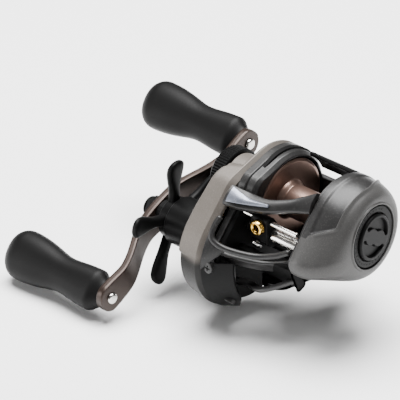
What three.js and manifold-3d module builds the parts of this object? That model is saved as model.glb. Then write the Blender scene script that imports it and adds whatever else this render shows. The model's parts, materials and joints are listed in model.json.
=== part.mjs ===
// Low-profile baitcasting reel. Millimetres. X runs along the spool axis (+X to the palm side),
// -Y to the line guide, +Z up. The origin is the middle of the foot's underside.
import * as THREE from 'three';
import { mergeVertices } from 'three/addons/utils/BufferGeometryUtils.js';
import Module from 'manifold-3d';

const wasm = await Module();
wasm.setup();

// ---------------------------------------------------------------- driving sizes
const gap = 0.3; // clearance between pieces that touch in the real reel
const wall = 1.5; // covers

const spoolAxisHeight = 23; // above the foot's underside
const flangeRadius = 16.5;
const flangeThickness = 1.4;
const spoolInnerWidth = 24;
const arborRadius = 6.5;
const shaftRadius = 1.55;
const bearingRadius = 4;
const bearingWidth = 2.5;

const flangeClearance = 0.7;
const gearRingWall = 2.8;
const palmRingWall = 4.2;
const gearWallThickness = 2.4;
const gearRimDepth = 2.5;
const palmRingWidth = 3.6;

const gearModule = 0.7;
const mainTeeth = 60;
const pinionTeeth = 12;
const driveDirection = 222.6; // degrees from +Y towards +Z, from the spool axis to the drive axis
const guideModule = 0.8;
const guideDriveTeeth = 22;
const wormTeeth = 12;
const wormY = -20.6;
const wormRadius = 2;
const guideRodRadius = 1;

const coverDepth = 11.6; // of the gear cover at the front
const collarRadius = 9.75;
const collarLength = 16.8;
const castCapRadius = 10.9;
const castCapWidth = 6.2;

const handleReach = 42.5; // drive axis to knob axis
const handleAngle = 25.3; // of the rear knob above +Y
const handleThickness = 3.2;
const handleSweep = 9; // how far the arm's middle stands outboard of its ends
const handleEndWidth = 10.6;
const knobLength = 51;
const knobWidth = 20.2;
const knobThickness = 14;
const starReach = 26.5;

const dialRadius = 12.3;
const dialKnobRadius = 9.2;
const dialTilt = 5.9; // degrees, palm side face turned towards the rear
const palmDepth = 12.8;

const footLength = 50;
const footWidth = 13;
const footThickness = 2.5;

// ---------------------------------------------------------------- places worked out from the sizes
const degrees = Math.PI / 180;
const flangeX = spoolInnerWidth / 2;
const flangeOuterX = flangeX + flangeThickness;
const ringInner = flangeRadius + flangeClearance;
const gearRingOuter = ringInner + gearRingWall;
const palmRingOuter = ringInner + palmRingWall;

const gearWallIn = -(flangeOuterX + 1.8);
const gearWallOut = gearWallIn - gearWallThickness;
const rimEdge = gearWallOut - gearRimDepth;
const coverEdge = rimEdge - gap;
const coverFace = coverEdge - coverDepth;
const palmRingIn = flangeX + 0.2;
const palmRingOut = palmRingIn + palmRingWidth;
const palmEdge = palmRingOut + gap;
const palmFace = palmEdge + palmDepth;

const driveCentres = gearModule * (mainTeeth + pinionTeeth) / 2;
const driveY = driveCentres * Math.cos(driveDirection * degrees);
const driveZ = driveCentres * Math.sin(driveDirection * degrees);
const mainOuter = gearModule * (mainTeeth / 2 + 0.9);
const guideCentres = guideModule * (guideDriveTeeth + wormTeeth) / 2;
const wormZ = driveZ + Math.sqrt(guideCentres ** 2 - (wormY - driveY) ** 2);
const guideRodY = wormY - 2;
const guideRodZ = wormZ + 6.4;

const lobeRadius = mainOuter + 1.8;
const brow = { y: -17, z: 5, r: 10 };
const caseCircles = (inset = 0, lowerInset = inset) => [
  { y: 0, z: 0, r: gearRingOuter - inset },
  { y: driveY, z: driveZ, r: lobeRadius - lowerInset },
  { y: brow.y, z: brow.z, r: brow.r - lowerInset },
];
const chin = { y: -23.3, z: -7, r: 5.6 };
const palmCircles = (inset = 0) => [
  { y: 0.6, z: 0, r: palmRingOuter - inset },
  { y: chin.y, z: chin.z, r: chin.r - inset },
];

// ---------------------------------------------------------------- shapes
const V = (x, y, z) => new THREE.Vector3(x, y, z);

// A closed three.js geometry as a solid whose faces point out.
function solid(geometry) {
  const bare = geometry.clone();
  for (const name of Object.keys(bare.attributes)) if (name !== 'position') bare.deleteAttribute(name);
  const merged = mergeVertices(bare, 1e-4);
  const triVerts = new Uint32Array(merged.index.array);
  const vertProperties = merged.attributes.position.array;
  const build = () => new wasm.Manifold(new wasm.Mesh({ numProp: 3, vertProperties, triVerts }));
  const made = build();
  if (made.volume() >= 0) return made;
  for (let i = 0; i < triVerts.length; i += 3) {
    [triVerts[i + 1], triVerts[i + 2]] = [triVerts[i + 2], triVerts[i + 1]];
  }
  return build();
}

const join = (...parts) => parts.reduce((a, b) => a.add(b));
const cut = (body, ...tools) => tools.reduce((a, b) => a.subtract(b), body);

function toGeometry(body) {
  const mesh = body.simplify(0.002).getMesh();
  const geometry = new THREE.BufferGeometry();
  geometry.setAttribute('position', new THREE.BufferAttribute(new Float32Array(mesh.vertProperties), 3));
  geometry.setIndex(new THREE.BufferAttribute(new Uint32Array(mesh.triVerts), 1));
  geometry.computeVertexNormals();
  return geometry;
}

// An outline drawn in Y and Z, pulled along X from x0 to x1.
function prismX(shape, x0, x1, curveSegments = 24) {
  const geometry = new THREE.ExtrudeGeometry(shape, { depth: x1 - x0, bevelEnabled: false, curveSegments });
  geometry.applyMatrix4(new THREE.Matrix4().makeBasis(V(0, 1, 0), V(0, 0, 1), V(1, 0, 0)));
  return solid(geometry.translate(x0, 0, 0));
}

// A profile of [radius, x] points turned about an axis along X through (y, z).
function turned(profile, y = 0, z = 0, segments = 20) {
  const points = profile.map(([r, x]) => new THREE.Vector2(r, x));
  const geometry = new THREE.LatheGeometry(points, segments);
  geometry.applyMatrix4(new THREE.Matrix4().makeBasis(V(0, 1, 0), V(1, 0, 0), V(0, 0, -1)));
  return solid(geometry.translate(0, y, z));
}
const disc = (r, x0, x1, y = 0, z = 0, n = 20) => turned([[0, x0], [r, x0], [r, x1], [0, x1]], y, z, n);
const ring = (rIn, rOut, x0, x1, y = 0, z = 0, n = 20) =>
  turned([[rIn, x0], [rOut, x0], [rOut, x1], [rIn, x1], [rIn, x0]], y, z, n);

// The convex outline round a set of circles, as a shape in Y and Z.
function hullShape(circles, segments = 28) {
  const points = circles.flatMap(({ y, z, r }) =>
    Array.from({ length: segments }, (_, i) => {
      const a = (i / segments) * 2 * Math.PI;
      return new THREE.Vector2(y + r * Math.cos(a), z + r * Math.sin(a));
    }));
  points.sort((a, b) => a.x - b.x || a.y - b.y);
  const turn = (o, a, b) => (a.x - o.x) * (b.y - o.y) - (a.y - o.y) * (b.x - o.x);
  const half = (list) => list.reduce((chain, p) => {
    while (chain.length > 1 && turn(chain.at(-2), chain.at(-1), p) <= 1e-6) chain.pop();
    chain.push(p);
    return chain;
  }, []);
  const lower = half(points);
  const upper = half(points.reverse());
  return new THREE.Shape([...lower.slice(0, -1), ...upper.slice(0, -1)]);
}

function sector(rIn, rOut, from, to) {
  const shape = new THREE.Shape();
  shape.absarc(0, 0, rOut, from * degrees, to * degrees, false);
  if (rIn > 0) shape.absarc(0, 0, rIn, to * degrees, from * degrees, true);
  else shape.lineTo(0, 0);
  return shape;
}

// A skin over stations: pointAt(angle, station) gives each point, with station from 0 to 1.
function skin(pointAt, around = 16, stations = 8) {
  const geometry = new THREE.CylinderGeometry(1, 1, 1, around, stations);
  const position = geometry.attributes.position;
  const mean = (s) => {
    const sum = V(0, 0, 0);
    for (let i = 0; i < around; i++) sum.add(pointAt((i / around) * 2 * Math.PI, s));
    return sum.divideScalar(around);
  };
  for (let i = 0; i < position.count; i++) {
    const station = Math.round((position.getY(i) + 0.5) * stations) / stations;
    const turn = Math.atan2(position.getX(i), position.getZ(i)) / (2 * Math.PI);
    const index = (Math.round(turn * around) + around) % around;
    const onAxis = Math.hypot(position.getX(i), position.getZ(i)) < 0.5;
    const p = onAxis ? mean(station) : pointAt((index / around) * 2 * Math.PI, station);
    position.setXYZ(i, p.x, p.y, p.z);
  }
  return solid(geometry);
}

const power = (value, exponent) => Math.sign(value) * Math.abs(value) ** exponent;
const curve = (points) => new THREE.CatmullRomCurve3(points.map((p) => V(...p)));

// A flat bar between two edge curves, rounded in section.
function strap(edgeA, edgeB, thickness, around = 12, stations = 10) {
  const a = curve(edgeA);
  const b = curve(edgeB);
  return skin((angle, s) => {
    const p = a.getPoint(s);
    const q = b.getPoint(s);
    const across = q.clone().sub(p).multiplyScalar(0.5);
    const normal = V(0, -across.z, across.y).normalize().multiplyScalar(thickness / 2);
    return p.add(q).multiplyScalar(0.5)
      .addScaledVector(across, power(Math.cos(angle), 0.6))
      .addScaledVector(normal, power(Math.sin(angle), 0.6));
  }, around, stations);
}

function gearShape(teeth, size, bore) {
  const root = size * (teeth / 2 - 1.15);
  const tip = size * (teeth / 2 + 0.9);
  const pitch = (2 * Math.PI) / teeth;
  const corners = [[-0.29, root], [-0.085, tip], [0.085, tip], [0.29, root]];
  const points = Array.from({ length: teeth }, (_, i) => i).flatMap((i) =>
    corners.map(([part, r]) => {
      const a = (i + part) * pitch;
      return new THREE.Vector2(r * Math.cos(a), r * Math.sin(a));
    }));
  const shape = new THREE.Shape(points);
  if (bore) shape.holes.push(new THREE.Path().absarc(0, 0, bore, 0, 2 * Math.PI, true));
  return shape;
}
const gear = (teeth, size, bore, x0, x1) => prismX(gearShape(teeth, size, bore), x0, x1, 10);

// ---------------------------------------------------------------- the model
const finishes = {
  graphite: { color: 0x3b3b3d, roughness: 0.45, metalness: 0.4 },
  coverGrey: { color: 0x8b8680, roughness: 0.4, metalness: 0.5 },
  palmGrey: { color: 0x6a6868, roughness: 0.42, metalness: 0.5 },
  black: { color: 0x1c1c1d, roughness: 0.5, metalness: 0.1 },
  bronze: { color: 0x5b4038, roughness: 0.35, metalness: 0.8 },
  rubber: { color: 0x2b2a28, roughness: 0.7, metalness: 0 },
  steel: { color: 0xb9b4aa, roughness: 0.25, metalness: 1 },
  brass: { color: 0xb08d3e, roughness: 0.3, metalness: 1 },
  badge: { color: 0x9aa0b4, roughness: 0.35, metalness: 0.6 },
  carbon: { color: 0x26262a, roughness: 0.6, metalness: 0.1 },
};

const reel = new THREE.Group();
reel.position.z = spoolAxisHeight;

function add(name, body, finish) {
  const mesh = new THREE.Mesh(toGeometry(body), new THREE.MeshStandardMaterial(finishes[finish]));
  mesh.name = name;
  reel.add(mesh);
  return mesh;
}
const spin = (body, degreesAboutX, y, z) =>
  body.translate([0, -y, -z]).rotate([degreesAboutX, 0, 0]).translate([0, y, z]);

// -------- the lower front cover's curve, and the two screws that hold it to the frame
const frontSweep = 0.5; // how far the front falls back for each millimetre towards the palm side
const lowerCoverEnd = rimEdge + 11.1;
const coverPoint = (along, inset, x) => {
  const a = (172 + along * 82) * degrees;
  const back = (x - rimEdge) * frontSweep;
  const r = lobeRadius - gap - inset;
  return V(x, driveY + back + r * Math.cos(a), driveZ + back * 0.35 + r * Math.sin(a));
};
const coverScrews = [[0.05, rimEdge + 3], [0.6, rimEdge + 6.6]].map(([along, x]) => {
  const p = coverPoint(along, 0, x);
  const tilt = Math.atan2(p.z - driveZ, p.y - driveY);
  const pin = (profile) => {
    const points = profile.map(([r, h]) => new THREE.Vector2(r, h));
    return solid(new THREE.LatheGeometry(points, 16).rotateX(tilt).translate(p.x, p.y, p.z));
  };
  return {
    hole: pin([[0, -4], [1.6, -4], [1.6, -0.7], [2.4, -0.7], [2.4, 2], [0, 2]]),
    thread: pin([[0, -5], [1.6, -5], [1.6, 0], [0, 0]]),
    screw: pin([[0, -3.4], [1.3, -3.4], [1.3, -0.4], [2.1, -0.4], [2.1, 0.5], [1.7, 0.9], [0, 0.9]]),
  };
});

// -------- main frame: a ring round each flange, joined by floor, bridge, web and lip
const footTop = -spoolAxisHeight + footThickness + gap;
const frontLip = [
  [-18.6, -37.2, -8.6], [-12, -35.2, -10.2], [-2, -29.6, -11.4], [6, -25.8, -10], [13, -22.6, -7.4],
];
const rivetY = 9;
{
  const wallShape = hullShape(caseCircles(0, 5.4));
  const gearSide = cut(
    prismX(wallShape, gearWallOut, gearWallIn),
    disc(5.3, gearWallOut - 1, gearWallIn + 1),
    disc(wormRadius + gap, gearWallOut - 1, gearWallIn + 1, wormY, wormZ, 20),
  );
  const rim = cut(
    prismX(hullShape(caseCircles(0, 4.7)), rimEdge, gearWallOut + 0.2),
    prismX(hullShape(caseCircles(2, 6)), rimEdge - 1, gearWallIn + 1),
  );
  const arch = cut(
    prismX(hullShape(caseCircles()), rimEdge, -flangeX),
    disc(ringInner, rimEdge - 1, -flangeX + 1, 0, 0, 32),
  ).intersect(prismX(sector(0, 70, -60, 143), rimEdge - 1, -flangeX + 1));
  const palmRing = cut(
    prismX(hullShape(palmCircles()), palmRingIn, palmRingOut),
    disc(ringInner, palmRingIn - 1, palmRingOut + 1, 0, 0, 32),
    disc(wormRadius + gap, palmRingIn - 1, palmRingIn + 2.2, wormY, wormZ, 20),
  );
  const reachIn = gearWallIn - 1;
  const reachOut = palmRingIn + 1;
  const floor = prismX(sector(ringInner + 0.4, gearRingOuter - 0.2, 234, 306), reachIn, reachOut);
  const bridge = prismX(sector(ringInner + 0.6, gearRingOuter, -30, 8), reachIn, reachOut);
  const padShape = new THREE.Shape();
  padShape.moveTo(-22, footTop).lineTo(22, footTop).lineTo(12, -ringInner - 1).lineTo(-12, -ringInner - 1);
  const pad = prismX(padShape, -footWidth / 2 + 0.5, footWidth / 2 - 0.5);
  const webShape = new THREE.Shape();
  webShape.moveTo(-26.5, -11).lineTo(-24, -10).lineTo(-20.2, -18.6).lineTo(-23, -19.8);
  const web = prismX(webShape, reachIn, reachOut);
  const lip = strap(
    frontLip.map(([x, y, z]) => [x, y + 1.2, z]),
    frontLip.map(([x, y, z]) => [x, y + 4.2, z - 4.6]),
    2,
  );
  const sill = strap(
    [[-16.4, -29, -25.5], [-9, -28.4, -24.6], [1, -30.4, -22.4], [13, -25, -15.8]],
    [[-16.4, -25.6, -25.5], [-9, -25.2, -24.2], [1, -28, -21.4], [13, -21.6, -15]],
    2,
  );
  const sillPost = strap([[-12.3, -23, -18], [-12.3, -27.6, -25.4]], [[-9.2, -23, -18], [-9.2, -27.6, -25.4]], 2.7, 12, 3);
  const rivetHoles = [-rivetY, rivetY].map((y) =>
    solid(new THREE.CylinderGeometry(1.9, 1.9, 6, 20).rotateX(Math.PI / 2).translate(0, y, footTop)));
  const clearOfSpool = disc(ringInner, -flangeOuterX - 1.6, palmRingOut + 1, 0, 0, 32);
  const driveBore = disc(4.7, gearWallOut - 1, gearWallIn + gap, driveY, driveZ);
  const body = join(gearSide, rim, arch, palmRing, floor, bridge, pad, web, lip, sill, sillPost);
  const threads = coverScrews.map((s) => s.thread);
  add('main_frame', cut(body, clearOfSpool, driveBore, ...threads, ...rivetHoles), 'graphite');
}

// -------- foot
{
  const half = footLength / 2;
  const outline = new THREE.Shape();
  const shoulder = half - 3;
  outline.moveTo(-shoulder, -footWidth / 2 + 2);
  outline.lineTo(-10, -footWidth / 2).lineTo(10, -footWidth / 2).lineTo(shoulder, -footWidth / 2 + 2);
  outline.quadraticCurveTo(half + 3, 0, shoulder, footWidth / 2 - 2);
  outline.lineTo(10, footWidth / 2).lineTo(-10, footWidth / 2).lineTo(-shoulder, footWidth / 2 - 2);
  outline.quadraticCurveTo(-half - 3, 0, -shoulder, -footWidth / 2 + 2);
  for (const y of [-rivetY, rivetY]) {
    outline.holes.push(new THREE.Path().absarc(y, 0, 1.9, 0, 2 * Math.PI, true));
  }
  const plate = new THREE.ExtrudeGeometry(outline, { depth: footThickness, bevelEnabled: false, curveSegments: 12 });
  plate.rotateZ(Math.PI / 2).translate(0, 0, -spoolAxisHeight);
  add('reel_foot', solid(plate), 'steel');
  for (const [name, y] of [['foot_rivet_front', -rivetY], ['foot_rivet_rear', rivetY]]) {
    const rivet = new THREE.CylinderGeometry(1.6, 1.6, 4.6, 20).rotateX(Math.PI / 2);
    add(name, solid(rivet.translate(0, y, -spoolAxisHeight + 0.2 + 2.3)), 'steel');
  }
}

// -------- gear side cover: deep at the front, shallow over the spool, with a boss on each axis
const bossRadius = 9.6;
const bossEnd = coverEdge - 18.2;
const noseRadius = 7.1;
const noseEnd = bossEnd - 4.4;
const collarStart = coverFace - 4.3;
const collarEnd = collarStart - collarLength;
const archFace = coverEdge - 3.6;
{
  const plan = (shift) => {
    const shape = new THREE.Shape();
    shape.moveTo(coverEdge + 1, -70).lineTo(coverFace + shift, -70).lineTo(coverFace + shift, -32);
    shape.lineTo(coverEdge - 6.9 + shift, 8).lineTo(coverEdge - 6.9 + shift, 40).lineTo(coverEdge + 1, 40);
    return solid(new THREE.ExtrudeGeometry(shape, { depth: 120, bevelEnabled: false }).translate(0, 0, -60));
  };
  const lobe = (inset, shift) =>
    prismX(hullShape(caseCircles(0, inset).slice(1)), coverFace - 1, coverEdge + (inset ? 1 : 0))
      .intersect(plan(shift));
  const driveBoss = [[0, coverEdge - 4], [16, coverEdge - 4], [16, coverEdge - 6.5], [13, coverFace - 1],
    [11.2, collarStart + gap], [0, collarStart + gap]];
  const outer = join(
    prismX(hullShape(caseCircles()), archFace, coverEdge),
    lobe(0, 0),
    disc(bossRadius, bossEnd, coverEdge - 1, 0, 0, 24),
    disc(noseRadius, noseEnd, bossEnd + 1),
    turned(driveBoss, driveY, driveZ, 24),
  );
  const inner = join(
    prismX(hullShape(caseCircles(wall)), archFace + wall, coverEdge + 1),
    lobe(wall, wall),
    disc(bossRadius - 1.2, bossEnd + wall, coverEdge, 0, 0, 24),
    disc(bearingRadius + 0.1, noseEnd - 1, bossEnd + 2),
    disc(12.3, coverFace + 0.4, coverEdge, driveY, driveZ),
    disc(8.2, collarStart - 1, coverFace + 1, driveY, driveZ),
  );
  add('gear_cover', outer.subtract(inner), 'coverGrey');
}
add('drive_collar', ring(8, collarRadius, collarEnd, collarStart, driveY, driveZ, 24), 'black');

// -------- hood, badge, bezel and lower cover on the front of the frame
const hoodRear = [
  [rimEdge, -22.4, 12], [-16, -22, 11.4], [-12, -20.8, 10.4], [-4, -20.2, 10.8], [4, -17, 12.6],
  [8, -14.6, 14.4], [palmRingIn - 0.6, -12.6, 16.2],
];
const hoodFront = [
  [rimEdge, -28.6, 6.4], [-16, -28.2, 6.4], [-12, -27.2, 6.4], [-3, -24.2, 7.2], [4, -20.8, 8.6],
  [8, -18.6, 9.4], [palmRingIn - 0.6, -16.8, 10],
];
add('front_hood', strap(hoodRear, hoodFront, 2.4, 16, 12), 'graphite');
// The badge lies over the hood's gear side and narrows towards the palm side.
const badgeStand = { x: 2, y: -1.3, z: 1.3 };
const badgeEdge = (share) => hoodRear.slice(0, 4).map(([x, y, z], i) => {
  const [, frontY, frontZ] = hoodFront[i];
  const part = share + (0.5 - share) * 0.25 * i;
  return [x + badgeStand.x, y + (frontY - y) * part + badgeStand.y, z + (frontZ - z) * part + badgeStand.z];
});
add('hood_badge', strap(badgeEdge(0.1), badgeEdge(0.86), 0.8, 8, 6), 'badge');

{
  const path = curve([
    [rimEdge + 1.6, -31.8, 3.4], [-18.6, -35.6, -0.2], [-17.4, -37.6, -3.8], [-12, -36, -6.6],
    [-2.4, -31, -8], [5, -27.8, -6.4], [palmRingIn - 1.6, -25, -3.8],
  ]);
  const section = new THREE.Shape().absarc(0, 0, 1.2, 0, 2 * Math.PI, false);
  const bezel = new THREE.ExtrudeGeometry(section, { extrudePath: path, steps: 14, curveSegments: 4 });
  add('window_bezel', solid(bezel), 'coverGrey');
}

{
  const outer = lobeRadius - gap;
  const end = lowerCoverEnd + 0.5;
  const curved = prismX(sector(outer - 0.8, outer, 172, 254), rimEdge + gap, end);
  const swept = curved.transform([
    1, frontSweep, frontSweep * 0.35, 0, 0, 1, 0, 0, 0, 0, 1, 0,
    0, driveY - frontSweep * rimEdge, driveZ - frontSweep * 0.35 * rimEdge, 1,
  ]);
  const side = new THREE.Shape();
  side.moveTo(rimEdge - 5, 10).lineTo(end, 10).lineTo(end, driveZ - 10);
  side.lineTo(end - 3.4, driveZ - 23).lineTo(rimEdge - 5, driveZ - 28);
  const trim = new THREE.ExtrudeGeometry(side, { depth: 70, bevelEnabled: false }).rotateX(Math.PI / 2);
  const holes = coverScrews.map((s) => s.hole);
  add('lower_front_cover', cut(swept.intersect(solid(trim)), ...holes), 'black');
  coverScrews.forEach((s, i) => add(`cover_screw_${i + 1}`, s.screw, 'steel'));
}

// -------- palm side plate with the brake dial
const dialCentre = V(palmFace, 0.4, -0.7);
const tilted = (body) => body.rotate([0, 0, dialTilt]).translate([dialCentre.x, dialCentre.y, dialCentre.z]);
const seatRadius = dialRadius + 1.3;
{
  const supports = palmCircles();
  const edge = (angle, inset) => {
    let radius = Infinity;
    for (let k = 0; k < 180; k++) {
      const n = (k / 180) * 2 * Math.PI;
      const facing = Math.cos(n - angle);
      if (facing < 0.05) continue;
      const reach = Math.max(...supports.map((c) => c.y * Math.cos(n) + c.z * Math.sin(n) + c.r - inset));
      radius = Math.min(radius, reach / facing);
    }
    return radius;
  };
  const dome = (inset, x0, x1) => skin((angle, s) => {
    const bend = s * 90 * degrees;
    const round = power(Math.cos(bend), 0.8);
    const seat = seatRadius - inset;
    const r = seat + (edge(angle, inset) - seat) * round;
    const lean = -Math.sin(dialTilt * degrees) * r * Math.cos(angle) * (1 - round);
    return V(x0 + (x1 - x0) * power(Math.sin(bend), 0.9) + lean, r * Math.cos(angle) + 0.4 * s, r * Math.sin(angle) - 0.7 * s);
  }, 32, 6);
  const shell = cut(dome(0, palmEdge, palmFace), dome(wall, palmEdge - 0.4, palmFace - 3.6));
  const hub = disc(6, palmEdge + 2.6, palmFace - 2.5);
  const recess = tilted(disc(dialRadius + gap, -1.6, 4, 0, 0, 24));
  const stemHole = tilted(disc(3.4, -5.5, 1));
  const bearingBore = disc(bearingRadius + 0.1, palmEdge + 1, palmEdge + 6);
  add('palm_plate', cut(join(shell, hub), recess, stemHole, bearingBore), 'palmGrey');
  add('dial_scale_ring', tilted(ring(dialKnobRadius + gap, dialRadius, -1.3, 0.2, 0, 0, 24)), 'black');
  const pocket = new THREE.Shape();
  pocket.absarc(0, 0, 7.6, 25 * degrees, 155 * degrees, false);
  pocket.absarc(0, 0, 4.2, 140 * degrees, 40 * degrees, true);
  const pocketCut = prismX(pocket, 0.2, 3, 12);
  const knob = cut(
    join(
      turned([[0, -1.2], [dialKnobRadius, -1.2], [dialKnobRadius, 0.8], [8.4, 1.3], [0, 1.3]], 0, 0, 24),
      disc(3, -5, -1),
    ),
    pocketCut, pocketCut.rotate([180, 0, 0]),
  );
  add('brake_knob', tilted(knob.rotate([-30, 0, 0])), 'black');
  add('magnet_carrier', ring(7, 10.4, palmEdge + 0.4, palmEdge + 2.2), 'black');
}

// -------- spool on its shaft, with bearings and brake rotor
{
  const x = flangeX;
  const body = turned([
    [shaftRadius + 0.1, -flangeOuterX], [flangeRadius, -flangeOuterX], [flangeRadius, -x],
    [flangeRadius - 1.2, -x + 0.2], [arborRadius + 1.4, -x - 0.5], [arborRadius + 0.9, -x + 0.4],
    [arborRadius, -x + 1.6], [arborRadius, x - 1.6],
    [arborRadius + 0.9, x - 0.4], [arborRadius + 1.4, x + 0.5], [flangeRadius - 1.2, x - 0.2],
    [flangeRadius, x], [flangeRadius, flangeOuterX], [shaftRadius + 0.1, flangeOuterX],
    [shaftRadius + 0.1, -flangeOuterX],
  ], 0, 0, 32);
  add('spool', body, 'bronze');
  add('spool_shaft', disc(shaftRadius, noseEnd + 0.2, palmEdge + 5.4, 0, 0, 20), 'steel');
  const cupEdge = palmEdge + 2.4;
  const cup = turned([
    [shaftRadius + 0.1, flangeOuterX + gap], [12, flangeOuterX + gap], [12, cupEdge], [11, cupEdge],
    [11, flangeOuterX + 0.9], [shaftRadius + 0.1, flangeOuterX + 0.9],
    [shaftRadius + 0.1, flangeOuterX + gap],
  ], 0, 0, 24);
  add('brake_rotor', cup, 'steel');
  const bearing = (x0) => ring(shaftRadius + 0.1, bearingRadius, x0, x0 + bearingWidth, 0, 0, 24);
  add('spool_bearing_palm', bearing(palmEdge + 2.9), 'steel');
  add('spool_bearing_gear', bearing(bossEnd - 3.4), 'steel');
}

// -------- cast control cap on the nose of the spool boss
{
  const start = bossEnd - gap;
  const end = start - castCapWidth;
  const grips = 36;
  const knurl = new THREE.Shape(Array.from({ length: grips * 2 }, (_, i) => {
    const r = castCapRadius - (i % 2) * 0.5;
    const a = (i / grips) * Math.PI;
    return new THREE.Vector2(r * Math.cos(a), r * Math.sin(a));
  }));
  const body = join(
    prismX(knurl, end + 0.9, start),
    turned([[0, end], [9.2, end], [castCapRadius - 0.7, end + 1], [0, end + 1]]),
  );
  add('cast_control_cap', cut(body, disc(noseRadius + gap, end + 1.3, start + 1)), 'black');
  add('cast_control_shim', disc(3.6, end + 1.4, end + 1.7, 0, 0, 24), 'brass');
}

// -------- pinion, clutch yoke, springs and kick lever
const mainIn = coverEdge - 0.9;
const mainOut = mainIn - 3;
const yokeIn = mainOut - 2.2;
{
  const bore = shaftRadius + 0.2;
  const teeth = gear(pinionTeeth, gearModule, bore, mainOut - 0.6, mainIn + 0.5);
  const neck = ring(bore, 2.9, yokeIn - 2.4, mainOut, 0, 0, 24);
  const head = ring(bore, 4, yokeIn - 3.2, yokeIn - 2.1, 0, 0, 24);
  const meshPhase = 180 / pinionTeeth + driveDirection;
  add('pinion', spin(join(teeth, neck, head), meshPhase, 0, 0), 'brass');

  const postAngle = (driveDirection - 90) * degrees;
  const postReach = 6.1;
  const posts = [1, -1].map((side) => [
    side * postReach * Math.cos(postAngle), side * postReach * Math.sin(postAngle),
  ]);
  const yokeShape = hullShape(posts.map(([y, z]) => ({ y, z, r: 1.7 })), 16);
  const slotEnd = V(0, Math.cos((driveDirection + 180) * degrees), Math.sin((driveDirection + 180) * degrees));
  const throat = [0, 1, 2, 3].map((k) =>
    disc(3.2, yokeIn - 2, yokeIn + 1, slotEnd.y * k, slotEnd.z * k, 24));
  const postHoles = posts.map(([y, z]) => disc(1, yokeIn - 2, yokeIn + 1, y, z, 16));
  const band = disc(4.6, yokeIn - 1.3, yokeIn, 0, 0, 24);
  add('clutch_yoke', cut(join(prismX(yokeShape, yokeIn - 1.3, yokeIn), band), ...throat, ...postHoles), 'brass');
  const names = ['upper', 'lower'];
  posts.forEach(([y, z], i) => {
    const springEnd = bossEnd + wall + 1.2;
    add(`yoke_post_${names[i]}`, disc(0.7, bossEnd + wall + gap, yokeIn + 0.7, y, z, 12), 'steel');
    const turns = 5;
    const steps = turns * 8;
    const start = yokeIn - 1.3 - 0.6;
    const helix = Array.from({ length: steps + 1 }, (_, k) => {
      const a = (k / 8) * 2 * Math.PI;
      return [start + (springEnd - start) * (k / steps), y + 1.35 * Math.cos(a), z + 1.35 * Math.sin(a)];
    });
    const wire = new THREE.Shape().absarc(0, 0, 0.25, 0, 2 * Math.PI, false);
    const spring = new THREE.ExtrudeGeometry(wire, { extrudePath: curve(helix), steps, curveSegments: 2 });
    add(`yoke_spring_${names[i]}`, solid(spring), 'steel');
  });
}
add('kick_lever', prismX(sector(8.2, 12.5, 20, 80), rimEdge + 0.2, gearWallOut - gap, 8), 'steel');

// -------- thumb bar behind the spool
{
  const half = flangeX - 0.5;
  const body = join(
    prismX(sector(ringInner + 0.8, gearRingOuter - 0.2, 24, 58), -half, half, 10),
    prismX(sector(gearRingOuter - 1, gearRingOuter + 0.5, 26, 34), -half, half, 4),
  );
  add('thumb_bar', body, 'black');
}

// -------- drive shaft, main gear, drag stack and star
const armMiddle = collarEnd - 8.4;
const armOuter = armMiddle - handleThickness;
{
  const at = [driveY, driveZ];
  const shaft = [[0, gearWallIn], [2.4, gearWallIn], [2.4, mainOut], [3, mainOut], [3, coverFace - 5],
    [4.7, coverFace - 5], [4.7, collarEnd + 1.4], [3, collarEnd + 1.4], [3, armOuter - 3.6],
    [0, armOuter - 3.6]];
  add('drive_shaft', turned(shaft.reverse(), ...at), 'steel');
  add('shaft_bearing', ring(2.7, 4.4, gearWallOut + 0.2, gearWallIn - 0.2, ...at, 20), 'steel');
  add('one_way_bearing', ring(5, 7.7, collarEnd + 2.2, collarStart - 4, ...at), 'steel');
  add('main_gear', gear(mainTeeth, gearModule, 2.7, mainOut, mainIn).translate([0, ...at]), 'brass');
  add('drag_washer', ring(3.3, 11.4, mainOut - 0.8, mainOut - gap, ...at), 'carbon');
  add('pressure_plate', ring(3.3, 11.4, mainOut - 2.2, mainOut - 1.1, ...at), 'steel');
  const guideIn = gearWallOut - 0.5;
  const guideOut = rimEdge + 0.1;
  const guideDrive = gear(guideDriveTeeth, guideModule, 2.7, guideOut, guideIn);
  const toWorm = Math.atan2(wormZ - driveZ, wormY - driveY) / degrees;
  add('guide_drive_gear', guideDrive.rotate([toWorm, 0, 0]).translate([0, ...at]), 'black');
  const wormGear = gear(wormTeeth, guideModule, wormRadius + 0.15, guideOut, guideIn);
  add('worm_gear', wormGear.rotate([toWorm + 180 + 180 / wormTeeth, 0, 0]).translate([0, wormY, wormZ]), 'black');

  const hubIn = collarEnd - gap;
  const hubOut = hubIn - 4.6;
  const arms = Array.from({ length: 5 }, (_, i) => (94 + 72 * i) * degrees).map((a) =>
    skin((angle, s) => {
      const reach = 5.6 + (starReach - 5.6) * s;
      const width = (1.7 + 1.1 * Math.sin(Math.PI * Math.min(1, s * 1.15)) ** 2 + 0.5 * s) * Math.sqrt(Math.max(0.04, 1 - s ** 14));
      const lift = hubOut + 2.3 + 3 * s ** 2;
      const side = width * power(Math.cos(angle), 0.8);
      const thick = (1.6 - 0.3 * s) * power(Math.sin(angle), 0.8);
      return V(lift + thick, driveY + reach * Math.cos(a) - side * Math.sin(a),
        driveZ + reach * Math.sin(a) + side * Math.cos(a));
    }, 8, 6));
  const hub = turned([[3.4, hubOut], [7, hubOut], [8.4, hubOut + 1], [8.4, hubIn], [3.4, hubIn],
    [3.4, hubOut]], ...at);
  const bore = disc(3.4, hubOut - 1, hubIn + 1, ...at);
  add('star_drag', cut(join(hub, ...arms), bore), 'black');
  add('star_spring_washer', ring(3.3, 5.6, armMiddle + gap, hubOut - gap, ...at, 20), 'steel');
}

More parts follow.
